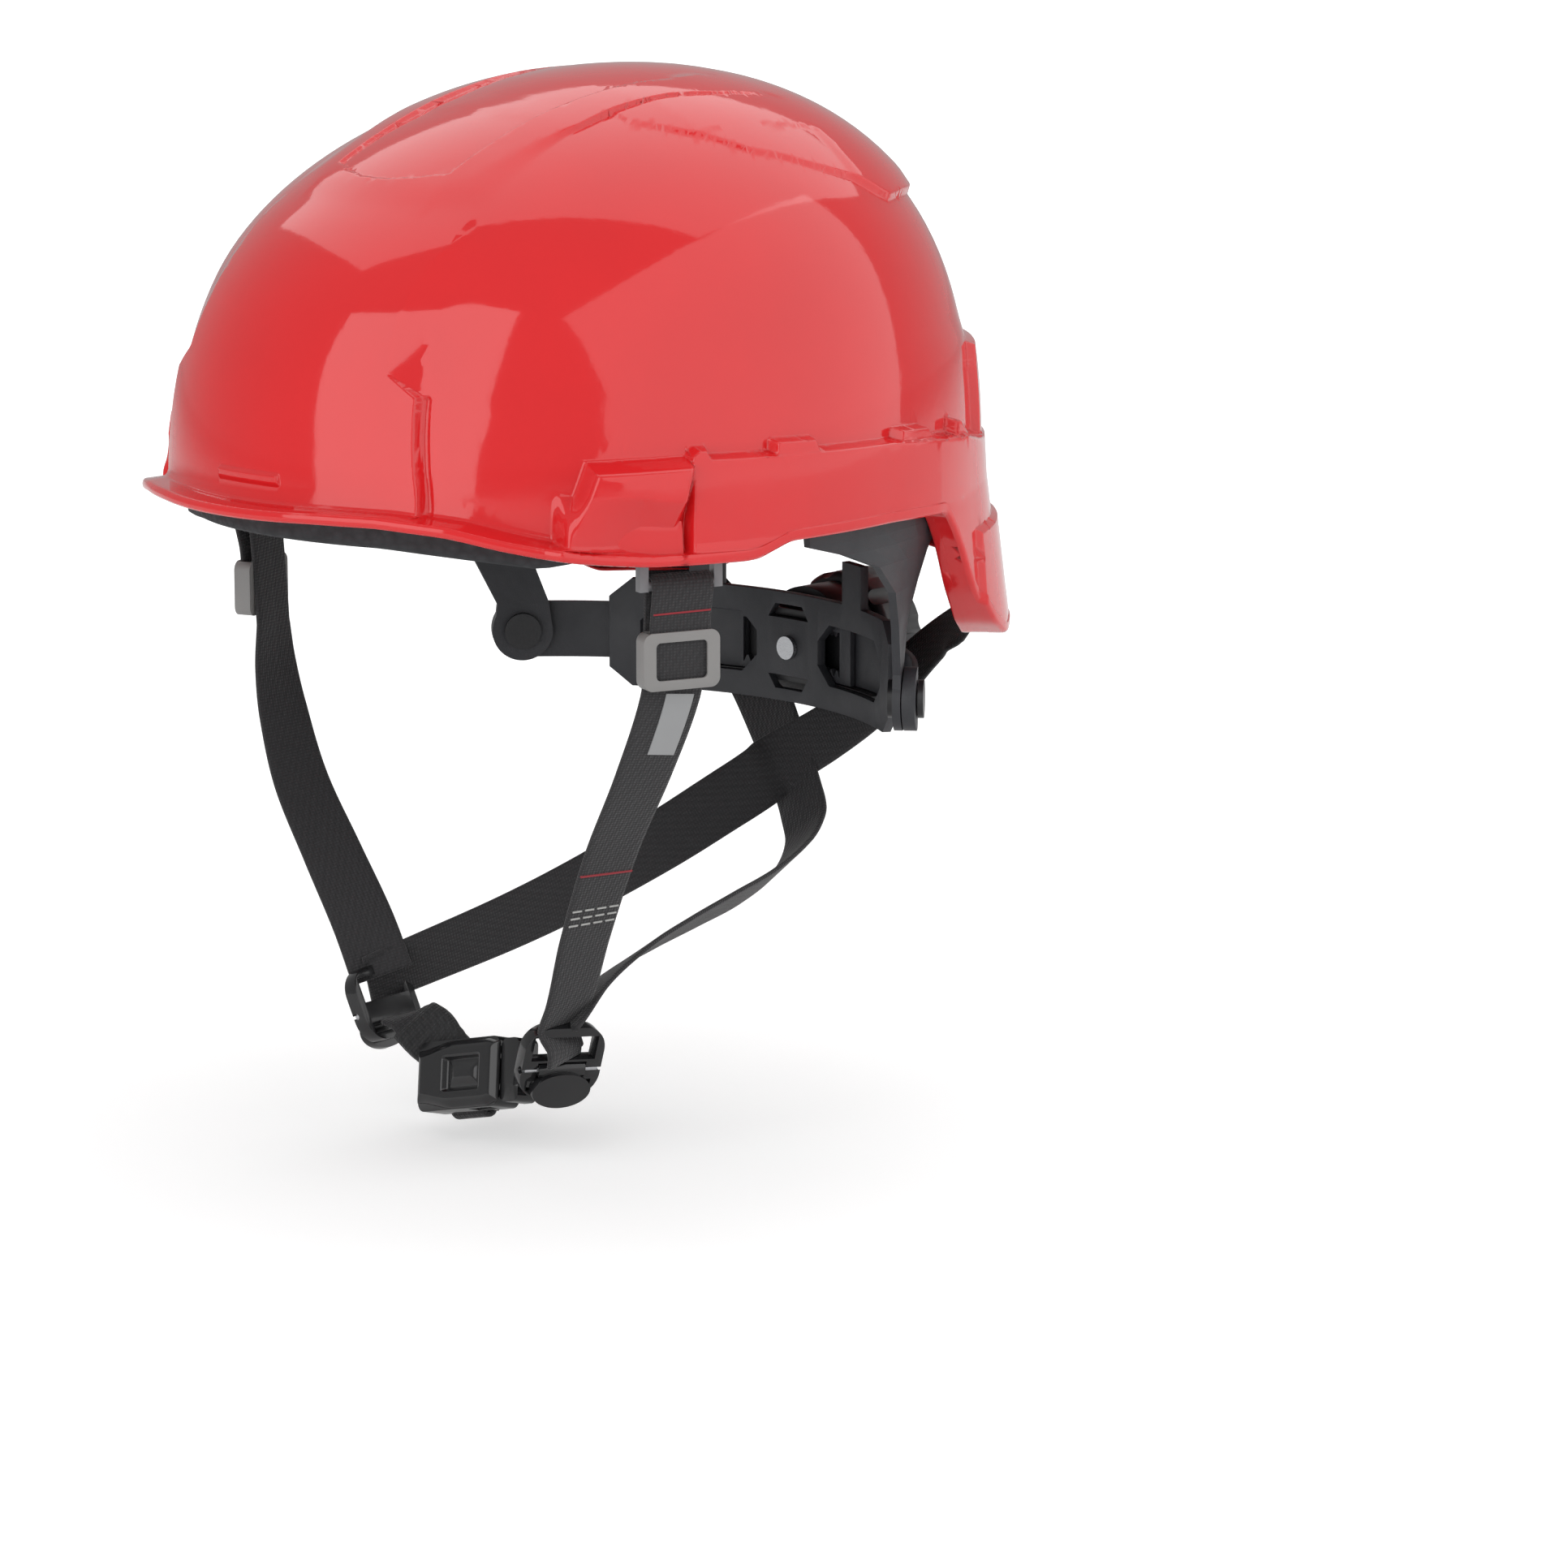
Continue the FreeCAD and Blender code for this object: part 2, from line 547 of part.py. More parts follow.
def make_rack(side):
    """Toothed band strip of one side, with the round end that takes the strut's rivet."""
    r0, r1 = layer_radii(side)
    low = BAND_Z - RACK_HALF_HEIGHT
    high = BAND_Z + RACK_HALF_HEIGHT
    strip = band_sector(r0, r1, side * RACK_INNER_ANGLE, side * LOBE_ANGLE, low, high)
    boss_inner = BAND_RADIUS - RACK_LAYER_GAP / 2 - RACK_THICKNESS
    boss_outer = BAND_RADIUS + RACK_LAYER_GAP / 2 + RACK_THICKNESS
    boss = radial_cylinder(LOBE_RADIUS, boss_inner - 4, boss_outer + 4, side * LOBE_ANGLE, BAND_Z)
    spread = math.degrees(LOBE_RADIUS / BAND_RADIUS) + 2
    ring = band_sector(boss_inner, boss_outer, side * (LOBE_ANGLE - spread), side * (LOBE_ANGLE + spread),
                       BAND_Z - 2 * LOBE_RADIUS, BAND_Z + 2 * LOBE_RADIUS)
    strip = fused([strip, ring.common(boss)])
    pitch_height = PINION_TEETH * TOOTH_MODULE / 2
    toothed = pitch_height + TOOTH_DEDENDUM
    plain = pitch_height + TOOTH_MODULE + 0.4
    z0 = BAND_Z - (plain if side > 0 else toothed)
    z1 = BAND_Z + (toothed if side > 0 else plain)
    strip = strip.cut(band_sector(r0 - 1, r1 + 1, -RACK_SLOT_ANGLE, RACK_SLOT_ANGLE, z0, z1))
    middle = (r0 + r1) / 2
    step = math.degrees(math.pi * TOOTH_MODULE / middle)
    count = int(RACK_SLOT_ANGLE / step)
    layer = band_sector(r0, r1, -RACK_SLOT_ANGLE, RACK_SLOT_ANGLE, BAND_Z - FAR, BAND_Z + FAR)
    teeth = [rack_tooth(r0, (index + 0.5) * step, side) for index in range(-count, count)]
    strip = fused([strip] + [tooth.common(layer) for tooth in teeth])
    return strip.cut(radial_cylinder(RIVET_RADIUS, r0 - 9, r1 + 9, side * LOBE_ANGLE, BAND_Z))


def strut_inner_radius():
    """Radius of the strut's inner face where it lies against the rack's round end."""
    return BAND_RADIUS - RACK_LAYER_GAP / 2 - RACK_THICKNESS - PART_GAP - STRUT_THICKNESS


def make_rivet(side):
    """Rivet through the strut and the rack's round end."""
    r0 = strut_inner_radius() - SKIN_GAP
    r1 = BAND_RADIUS + RACK_LAYER_GAP / 2 + RACK_THICKNESS + SKIN_GAP
    angle = side * LOBE_ANGLE
    shank = radial_cylinder(RIVET_RADIUS, r0, r1, angle, BAND_Z)
    inner_head = radial_cylinder(RIVET_HEAD_RADIUS, r0 - RIVET_HEAD_THICKNESS, r0, angle, BAND_Z)
    outer_head = radial_cylinder(RIVET_HEAD_RADIUS, r1, r1 + RIVET_HEAD_THICKNESS, angle, BAND_Z)
    return fused([shank, inner_head, outer_head])


def strut_line(points, thickness):
    """Closed wire of a thin strip section through level points, thick towards the inside."""
    count = len(points)
    inner = []
    for index, point in enumerate(points):
        before = points[max(index - 1, 0)]
        after = points[min(index + 1, count - 1)]
        along = (after - before).normalize()
        inward = V(-along.y, along.x, 0)
        if inward.dot(V(point.x, point.y - BAND_CENTRE_Y, 0)) > 0:
            inward = inward * -1
        inner.append(point + inward * thickness)
    loop = points + inner[::-1]
    return Part.makePolygon(loop + [loop[0]])


def strut_section(side, z, front, rear, lean):
    """Level section of the strut between two Y values on its leaning wall."""
    points = []
    for step in range(5):
        y = front + (rear - front) * step / 4
        wall = wall_point(y, min(z, 0.0), -SHELL_WALL - PART_GAP, side)
        outer = strut_inner_radius() + STRUT_THICKNESS
        band = V(side * math.sqrt(outer ** 2 - (y - BAND_CENTRE_Y) ** 2), y, z)
        mixed = wall * (1 - lean) + band * lean
        points.append(V(mixed.x, mixed.y, z))
    return strut_line(points, STRUT_THICKNESS)


def make_strut(side):
    """Flexible arm from the shell's side down to the rivet at the end of the band."""
    outer = strut_inner_radius() + STRUT_THICKNESS
    lobe_y = band_point(outer, LOBE_ANGLE, 0).y
    reach = LOBE_RADIUS * math.sin(math.radians(LOBE_ANGLE))
    sections = [(STRUT_TOP_Z, STRUT_FRONT_Y, STRUT_REAR_Y, 0.0),
                (-7.0, STRUT_FRONT_Y + 1, STRUT_REAR_Y, 0.0),
                (-11.0, 7.0, STRUT_REAR_Y - 1, 0.1),
                (-17.0, 24.0, STRUT_REAR_Y - 3, 0.3),
                (-27.0, 36.0, STRUT_REAR_Y - 3, 0.6),
                (-40.0, 44.0, STRUT_REAR_Y - 2, 0.9),
                (BAND_Z + 9, lobe_y - reach + 1, lobe_y + reach - 1, 1.0),
                (BAND_Z, lobe_y - reach + 0.2, lobe_y + reach - 0.2, 1.0)]
    wires = [strut_section(side, z, front, rear, lean) for z, front, rear, lean in sections]
    arm = Part.makeLoft(wires, True, True)
    r0 = strut_inner_radius()
    spread = math.degrees(LOBE_RADIUS / r0) + 2
    ring = band_sector(r0, outer, side * (LOBE_ANGLE - spread), side * (LOBE_ANGLE + spread),
                       BAND_Z - 2 * LOBE_RADIUS, BAND_Z + 2 * LOBE_RADIUS)
    lobe = ring.common(radial_cylinder(LOBE_RADIUS, r0 - 5, outer + 5, side * LOBE_ANGLE, BAND_Z))
    strut = fused([arm, lobe])
    return strut.cut(radial_cylinder(RIVET_RADIUS + RUNNING_CLEARANCE, r0 - 5, outer + 5,
                                     side * LOBE_ANGLE, BAND_Z))


def cradle_radii():
    outer = BAND_RADIUS - RACK_LAYER_GAP / 2 - RACK_THICKNESS - PART_GAP
    return outer - CRADLE_THICKNESS, outer


def window_prism(side):
    """Six-sided window through one half of the cradle."""
    r0, r1 = cradle_radii()
    middle = (WINDOW_INNER_ANGLE + WINDOW_OUTER_ANGLE) / 2
    half = math.radians(WINDOW_OUTER_ANGLE - WINDOW_INNER_ANGLE) / 2 * r1
    tall = WINDOW_HALF_HEIGHT
    outline = [(-half, tall - 6), (-half + 6, tall), (half - 6, tall), (half, tall - 6),
               (half, 6 - tall), (half - 6, -tall), (-half + 6, -tall), (-half, 6 - tall)]
    return radial_prism(outline, r0 - 12, r1 + 0.2, side * middle)


def make_cradle():
    """Curved plate that rests on the nape, with windows, slots and two upper lugs."""
    r0, r1 = cradle_radii()
    low = BAND_Z - CRADLE_HALF_HEIGHT
    high = BAND_Z + CRADLE_HALF_HEIGHT
    body = band_sector(r0, r1, -CRADLE_HALF_ANGLE, CRADLE_HALF_ANGLE, low, high)
    half_lug = math.degrees(CRADLE_LUG_WIDTH / 2 / r1)
    lugs = [band_sector(r0, r1, side * CRADLE_LUG_ANGLE - half_lug, side * CRADLE_LUG_ANGLE + half_lug,
                        high - 1, high + CRADLE_LUG_RISE) for side in (1, -1)]
    body = fused([body] + lugs)
    for side in (1, -1):
        body = body.cut(window_prism(side))
    for up in (1, -1):
        outline = [(-9, up * 9.5), (9, up * 9.5), (6, up * 14), (-6, up * 14)]
        body = body.cut(radial_prism(outline, r0 - 1, r1 + 1, 0.0))
    end = CRADLE_HALF_ANGLE * math.pi / 180 * r1
    for side in (1, -1):
        for up in (1, -1):
            corner = [(side * (end + 1), up * (CRADLE_HALF_HEIGHT + 1)),
                      (side * (end - 9), up * (CRADLE_HALF_HEIGHT + 1)),
                      (side * (end + 1), up * (CRADLE_HALF_HEIGHT - 7))]
            shifted = [(s - side * end, h) for s, h in corner]
            body = body.cut(radial_prism(shifted, r0 - 2, r1 + 2, side * CRADLE_HALF_ANGLE))
    return body.cut(shaft(SCREW_RADIUS + RUNNING_CLEARANCE, r0 - 2, r1 + 2))


def shaft(radius, r0, r1):
    """Cylinder on the knob's axis, between two distances from the headband's centre."""
    return radial_cylinder(radius, r0, r1, 0.0, BAND_Z)


def housing_radii():
    inner = BAND_RADIUS + RACK_LAYER_GAP / 2 + RACK_THICKNESS + PART_GAP
    return inner, inner + HOUSING_WALL


def make_housing():
    """Back cover of the racks with the round drum that carries the knob."""
    r0, r1 = housing_radii()
    cradle_outer = cradle_radii()[1]
    angle = HOUSING_HALF_ANGLE
    inner_height = RACK_HALF_HEIGHT + PART_GAP
    outer_height = inner_height + HOUSING_WALL
    pieces = [band_sector(r0, r1, -angle, angle, BAND_Z - outer_height, BAND_Z + outer_height)]
    for up in (1, -1):
        levels = sorted((up * inner_height, up * outer_height))
        pieces.append(band_sector(cradle_outer + SEAT_GAP, r0, -angle, angle,
                                  BAND_Z + levels[0], BAND_Z + levels[1]))
    pieces.append(shaft(DRUM_RADIUS, r0 + 0.8, r1 + DRUM_LENGTH))
    housing = fused(pieces)
    housing = housing.cut(shaft(DRUM_RADIUS - HOUSING_WALL, r1 + 2.0, r1 + DRUM_LENGTH + 1))
    return housing.cut(shaft(SHAFT_RADIUS + RUNNING_CLEARANCE, r0 - 1, r1 + 4))


def toothed_ring(radius, depth, count):
    """Closed outline of saw teeth round the knob's axis, as (along, up) points."""
    points = []
    for index in range(count):
        start = 2 * math.pi * index / count
        end = 2 * math.pi * (index + 0.8) / count
        points.append((radius * math.cos(start), radius * math.sin(start)))
        points.append(((radius - depth) * math.cos(end), (radius - depth) * math.sin(end)))
    return points


def make_detent_ring():
    """Ring of saw teeth fixed in the drum, which the knob's pawls click over."""
    r1 = housing_radii()[1]
    body = shaft(DRUM_RADIUS - HOUSING_WALL, r1 + 2.0, r1 + 7.0)
    teeth = toothed_ring(DRUM_RADIUS - HOUSING_WALL - 1.6, DETENT_DEPTH, DETENT_TEETH)
    return body.cut(radial_prism(teeth, r1 + 1.0, r1 + 8.0, 0.0))


def make_pawls():
    """Hub with two springy pawl arms that reaches the detent teeth."""
    r1 = housing_radii()[1]
    reach = DRUM_RADIUS - HOUSING_WALL - 1.6 - DETENT_DEPTH - SKIN_GAP
    hub = shaft(SHAFT_RADIUS + 2.2, r1 + 2.4, r1 + 6.6)
    arms = []
    for side in (1, -1):
        outline = [(side * 3.0, side * 3.0), (side * (reach - 2.0), side * 3.0),
                   (side * (reach - 0.6), side * 0.4), (side * (reach - 2.4), side * 1.2),
                   (side * 3.0, side * 1.2)]
        arms.append(radial_prism(outline, r1 + 2.4, r1 + 6.6, 0.0))
    return fused([hub] + arms).cut(shaft(SHAFT_RADIUS, r1, r1 + 9))


def pinion_outline():
    """Outline of the pinion's teeth as (along, up) points, with a tooth straight up."""
    pitch_radius = PINION_TEETH * TOOTH_MODULE / 2
    at_pitch = math.pi * TOOTH_MODULE / 4 - TOOTH_BACKLASH / 4
    points = []
    for index in range(PINION_TEETH):
        middle = math.pi / 2 - 2 * math.pi * index / PINION_TEETH
        flanks = ((-TOOTH_DEDENDUM, -1), (RACK_ADDENDUM, -1), (RACK_ADDENDUM, 1), (-TOOTH_DEDENDUM, 1))
        for height, sign in flanks:
            radius = pitch_radius + height
            half = tooth_half_width(height, at_pitch)
            if height < 0:
                half = min(half, radius * math.pi / PINION_TEETH - 0.12)
            turn = middle - sign * half / radius
            points.append((radius * math.cos(turn), radius * math.sin(turn)))
    return points


def make_pinion():
    """Gear between the two racks with the shaft that the knob turns."""
    r0 = cradle_radii()[1] + SKIN_GAP
    r1 = housing_radii()[0] - SKIN_GAP
    gear = radial_prism(pinion_outline(), r0, r1, 0.0)
    knob_face = housing_radii()[1] + DRUM_LENGTH + PART_GAP
    stem = shaft(SHAFT_RADIUS, r1 - 0.5, knob_face + 6.0)
    return fused([gear, stem]).cut(shaft(SCREW_RADIUS, r0 - 1, r0 + 5.0))


def make_knob_screw():
    """Screw from the nape side that holds the pinion in the cradle."""
    inner = cradle_radii()[0]
    start = cradle_radii()[1] + SKIN_GAP + 5.0
    head = shaft(SCREW_HEAD_RADIUS, inner - 1.8, inner - SKIN_GAP)
    return fused([shaft(SCREW_RADIUS, inner - SKIN_GAP - 0.1, start), head])


def make_knob():
    """Round grip knob with scallops, a groove for the accent ring and a bore for the shaft."""
    start = housing_radii()[1] + DRUM_LENGTH + PART_GAP
    end = start + KNOB_LENGTH
    body = shaft(KNOB_RADIUS, start, end)
    rim = [edge for edge in body.Edges if len(edge.Vertexes) == 1]
    body = body.makeFillet(2.4, rim)
    for index in range(KNOB_GRIPS):
        turn = 2 * math.pi * (index + 0.5) / KNOB_GRIPS
        reach = KNOB_RADIUS + 0.4 * KNOB_GRIP_RADIUS
        centre = V(reach * math.cos(turn), BAND_CENTRE_Y + start - 1, BAND_Z + reach * math.sin(turn))
        body = body.cut(Part.makeCylinder(KNOB_GRIP_RADIUS, KNOB_LENGTH + 2, centre, V(0, 1, 0)))
    groove = shaft(ACCENT_RADIUS, end - 1.6, end + 1)
    body = body.cut(groove.cut(shaft(ACCENT_RADIUS - ACCENT_WIDTH, end - 1.6, end + 1)))
    return body.cut(shaft(SHAFT_RADIUS, start - 1, start + 6.0))


def make_knob_accent():
    """Coloured ring set in the knob's face."""
    end = housing_radii()[1] + DRUM_LENGTH + PART_GAP + KNOB_LENGTH
    ring = shaft(ACCENT_RADIUS, end - 1.6, end + 0.3)
    return ring.cut(shaft(ACCENT_RADIUS - ACCENT_WIDTH, end - 2, end + 1))


# ================= webbing =================
def ribbon(points, widths, width, thickness):
    """Flat strap along points; widths are the directions across it."""
    wires = []
    last = len(points) - 1
    for index, point in enumerate(points):
        before = points[max(index - 1, 0)]
        after = points[min(index + 1, last)]
        along = (after - before).normalize()
        across = widths[index] - along * widths[index].dot(along)
        across = across.normalize() * (width / 2)
        normal = along.cross(across).normalize() * (thickness / 2)
        corners = [point + across + normal, point - across + normal,
                   point - across - normal, point + across - normal]
        wires.append(Part.makePolygon(corners + [corners[0]]))
    return Part.makeLoft(wires, True, True)


def route(start, end, bows):
    """Points from start to end; each bow is a share of the way and an offset from the straight line."""
    points = [start]
    for share, dx, dy, dz in bows:
        points.append(start + (end - start) * share + V(dx, dy, dz))
    return points + [end]


def blended(first, last, count):
    """Directions that turn evenly from the first to the last."""
    return [first * (1 - index / (count - 1)) + last * (index / (count - 1)) for index in range(count)]


def hanger_frame(side):
    """Origin at the middle of the hanger's bar, outward direction and direction along the bar."""
    wall = wall_point(HANGER_Y, RIM_SIDE_Z, -SHELL_WALL, side)
    outward = wall_normal(wall, -SHELL_WALL)
    origin = wall - outward * (HANGER_INSET + HANGER_THICKNESS / 2)
    along = V(-outward.y, outward.x, 0) * side
    return V(origin.x, origin.y, HANGER_BAR_Z), outward, along


def make_hanger(side):
    """Moulded hanger: a tongue behind the shell's wall with a bar under it for the strap."""
    origin, outward, along = hanger_frame(side)
    half = HANGER_WIDTH / 2
    thick = HANGER_THICKNESS / 2
    tongue_low = HANGER_BAR_Z + 6.6
    tongue = block(-thick, thick, -half + 4, half - 4, tongue_low - HANGER_BAR_Z, HANGER_TOP_Z - HANGER_BAR_Z)
    bridge = block(-thick, thick, -half, half, tongue_low - HANGER_BAR_Z, tongue_low + 3 - HANGER_BAR_Z)
    legs = [block(-thick, thick, edge - 1.4, edge + 1.4, -HANGER_BAR_RADIUS, tongue_low + 1 - HANGER_BAR_Z)
            for edge in (half - 1.4, 1.4 - half)]
    bar = Part.makeCylinder(HANGER_BAR_RADIUS, HANGER_WIDTH - 2, V(0, 1 - half, 0), V(0, 1, 0))
    body = fused([tongue, bridge, bar] + legs)
    body = placed(body, origin, outward, V(0, 0, 1))
    return body.cut(hanger_pin_hole(side))


def hanger_pin_axis(side):
    origin, outward, along = hanger_frame(side)
    return V(origin.x, origin.y, 0.0), outward


def hanger_pin_hole(side):
    origin, outward = hanger_pin_axis(side)
    return Part.makeCylinder(HANGER_PIN_RADIUS, 26, origin - outward * 8, outward)


def make_hanger_pin(side):
    """Pin that fastens the hanger to the shell, with a flat head inside and its end in the wall."""
    origin, outward = hanger_pin_axis(side)
    inner = HANGER_THICKNESS / 2
    head = Part.makeCylinder(HANGER_PIN_HEAD, 1.4, origin - outward * (inner + 1.4), outward)
    wall = wall_point(HANGER_Y, 0.0, -0.4, side)
    length = (wall - origin).dot(outward)
    shank = Part.makeCylinder(HANGER_PIN_RADIUS, inner + length, origin - outward * inner, outward)
    spacer_length = length - SHELL_WALL - inner - 0.6
    spacer = Part.makeCylinder(HANGER_PIN_HEAD, spacer_length, origin + outward * inner, outward)
    return fused([head, shank, spacer])


def anchor_axis(side):
    """Point on the inside of a rear leg's tip, and the outward direction there."""
    turn = math.radians(LEG_ANGLE)
    z = LEG_TIP_Z + 8
    half_width, half_length, shift = section(z, -SHELL_WALL)
    point = V(side * half_width * math.cos(turn), half_length * math.sin(turn) + shift, z)
    return point, wall_normal(point, -SHELL_WALL)


def anchor_hole(side):
    point, outward = anchor_axis(side)
    return Part.makeCylinder(ANCHOR_PIN_RADIUS, 30, point - outward * 12, outward)


def make_anchor(side):
    """Rivet that holds the end of a rear strap to the shell's leg."""
    point, outward = anchor_axis(side)
    strap_inner = WEBBING_THICKNESS + 2 * SKIN_GAP
    head = Part.makeCylinder(ANCHOR_HEAD_RADIUS, 1.6, point - outward * (strap_inner + 1.6), outward)
    start = point - outward * strap_inner
    shank = Part.makeCylinder(ANCHOR_PIN_RADIUS, strap_inner + SHELL_WALL, start, outward)
    return fused([head, shank])


def divider_frame(side):
    """Origin, outward direction and upward direction of a divider."""
    if side > 0:
        return DIVIDER_LEFT, V(0.92, -0.3, -0.25), V(0.28, 0.0, 0.96)
    return DIVIDER_RIGHT, V(-0.9, -0.16, -0.4), V(-0.42, -0.05, 0.9)


def divider_point(side, x, y, z):
    """Point given in a divider's own frame: outwards, backwards and up."""
    origin, outward, up = divider_frame(side)
    z_unit = V(up).normalize()
    y_unit = z_unit.cross(outward).normalize()
    return origin + y_unit.cross(z_unit) * x + y_unit * y + z_unit * z


def slider_centre(side):
    origin = hanger_frame(side)[0]
    return V(origin.x - side * 1.0, origin.y + 0.5, HANGER_BAR_Z - SLIDER_DROP)


def front_strap_top(side):
    """Points of the front strap's loop: up behind the slider, over the bar and down again."""
    origin, outward, along = hanger_frame(side)
    loop = HANGER_BAR_RADIUS + SKIN_GAP + WEBBING_THICKNESS / 2
    centre = slider_centre(side)
    gap = WEBBING_THICKNESS / 2 + SKIN_GAP / 2
    tail = centre - outward * gap + V(0, 0, -SLIDER_HEIGHT / 2 - 3)
    points = [tail, centre - outward * gap, centre - outward * (gap + 0.3) + V(0, 0, 12)]
    for index in range(7):
        turn = math.radians(180 - 30 * index)
        points.append(origin + outward * (loop * math.cos(turn)) + V(0, 0, loop * math.sin(turn)))
    points += [centre + outward * (gap + 0.3) + V(0, 0, 12), centre + outward * gap]
    points.append(centre + outward * gap + V(0, 0, -SLIDER_HEIGHT / 2 - 3))
    return points, along


def make_front_strap(side):
    """Front strap from its loop on the hanger down to the divider's upper bar."""
    top, along = front_strap_top(side)
    end = strap_end(side, side * STRAP_LEVEL)
    lower = route(top[-1], end, FRONT_BOWS[side])[1:]
    points = top + lower
    widths = [along] * len(top) + blended(along, FRONT_LAST_WIDTH[side], len(lower) + 1)[1:]
    return ribbon(points, widths, WEBBING_WIDTH, WEBBING_THICKNESS)


def strap_end(side, level):
    """Where a strap meets the upper bar of a divider, on one of the levels through its slot."""
    return divider_point(side, level, 0.0, STRAP_SLOT_Z + STRAP_SLOT_HEIGHT / 2 - 1.2)


def make_rear_strap(side):
    """Rear strap from one leg, across the nape, to the divider on the other side."""
    point, outward = anchor_axis(side)
    start = point - outward * (SKIN_GAP + WEBBING_THICKNESS / 2)
    crossing = REAR_CROSSING - V(0, side * CROSSING_GAP / 2, 0)
    upper = [start + V(0, 0, 7)] + route(start + V(-side, 0.5, -7), crossing, REAR_BOWS[side])
    bows = TIGHT_BOWS if side > 0 else LOOSE_BOWS
    lower = route(crossing, strap_end(-side, side * STRAP_LEVEL), bows)[1:]
    level = V(-outward.y, outward.x, 0) * (1 if side > 0 else -1)
    widths = blended(level, CROSSING_WIDTH[side], len(upper))
    widths += blended(CROSSING_WIDTH[side], REAR_LAST_WIDTH[side], len(lower) + 1)[1:]
    strap = ribbon(upper + lower, widths, WEBBING_WIDTH, WEBBING_THICKNESS)
    hole = Part.makeCylinder(ANCHOR_PIN_RADIUS + SKIN_GAP, 30, point - outward * 12, outward)
    return strap.cut(hole)


# ================= harness hardware =================
def rounded_plate(width, height, thickness, corner):
    """Plate with rounded corners; local x is its thickness, y its width and z its height."""
    plate = block(-thickness / 2, thickness / 2, -width / 2, width / 2, -height / 2, height / 2)
    edges = [edge for edge in plate.Edges
             if abs(edge.Vertexes[0].X - edge.Vertexes[1].X) > thickness / 2]
    return plate.makeFillet(corner, edges)


def make_slider(side):
    """Rectangular adjuster that holds both layers of the front strap."""
    centre = slider_centre(side)
    outward = hanger_frame(side)[1]
    body = rounded_plate(SLIDER_WIDTH, SLIDER_HEIGHT, SLIDER_THICKNESS, 3.0)
    half_inner = WEBBING_WIDTH / 2 + PART_GAP
    half_channel = WEBBING_THICKNESS + SKIN_GAP / 2 + PART_GAP / 2
    body = body.cut(block(-half_channel, half_channel, -half_inner, half_inner, -FAR, FAR))
    window = rounded_plate(2 * half_inner - 4, SLIDER_HEIGHT - 2 * SLIDER_RIM, FAR, 1.5)
    body = body.cut(window.common(block(0, FAR, -FAR, FAR, -FAR, FAR)))
    return placed(body, centre, outward, V(0, 0, 1))


def divider_body(side):
    """Ring that joins a front strap and a rear strap, with a second slot and ears for the lever's pin."""
    body = rounded_plate(DIVIDER_WIDTH, DIVIDER_HEIGHT, DIVIDER_THICKNESS, 8.0)
    half = WEBBING_WIDTH / 2 + 1.0
    for z, height in ((STRAP_SLOT_Z, STRAP_SLOT_HEIGHT), (CHIN_SLOT_Z, CHIN_SLOT_HEIGHT)):
        body = body.cut(block(-FAR, FAR, -half, half, z - height / 2, z + height / 2))
    half_lever = LEVER_HALF_LENGTH + PART_GAP
    room = LEVER_HUB_ROOM
    body = body.cut(block(LEVER_PIN_X - room, FAR, -half_lever, half_lever,
                          LEVER_PIN_Z - room, LEVER_PIN_Z + room))
    body = body.cut(lever_bore(LEVER_PIN_RADIUS))
    origin, outward, up = divider_frame(side)
    return placed(body, origin, outward, up)


def lever_bore(radius):
    """Long cylinder on the lever's axis in the divider's own frame."""
    return Part.makeCylinder(radius, FAR, V(LEVER_PIN_X, -FAR / 2, LEVER_PIN_Z), V(0, 1, 0))


def make_lever_pin(side):
    """Pin that the cam lever turns on, pressed into the divider's cheeks."""
    half = DIVIDER_WIDTH / 2 - 1.2
    pin = Part.makeCylinder(LEVER_PIN_RADIUS, 2 * half, V(LEVER_PIN_X, -half, LEVER_PIN_Z), V(0, 1, 0))
    origin, outward, up = divider_frame(side)
    return placed(pin, origin, outward, up)


def make_lever(side):
    """Oval cam lever that lies over the divider's lower half and locks the straps."""
    inner = DIVIDER_THICKNESS / 2 + PART_GAP
    centre = V(inner, 0, LEVER_PIN_Z - LEVER_DROP)
    curve = Part.Ellipse(centre + V(0, LEVER_HALF_WIDTH, 0), centre + V(0, 0, LEVER_HALF_HEIGHT), centre)
    plate = Part.Face(Part.Wire([curve.toShape()])).extrude(V(LEVER_THICKNESS, 0, 0))
    start = V(LEVER_PIN_X, -LEVER_HALF_LENGTH, LEVER_PIN_Z)
    hub = Part.makeCylinder(LEVER_PIN_RADIUS + 0.9, 2 * LEVER_HALF_LENGTH, start, V(0, 1, 0))
    web = block(LEVER_PIN_X, inner + 0.6, -LEVER_HALF_LENGTH, LEVER_HALF_LENGTH,
                LEVER_PIN_Z - 1.6, LEVER_PIN_Z + 0.4)
    body = plate.fuse(hub).fuse(web).cut(lever_bore(LEVER_PIN_RADIUS + RUNNING_CLEARANCE))
    origin, outward, up = divider_frame(side)
    return placed(body, origin, outward, up)


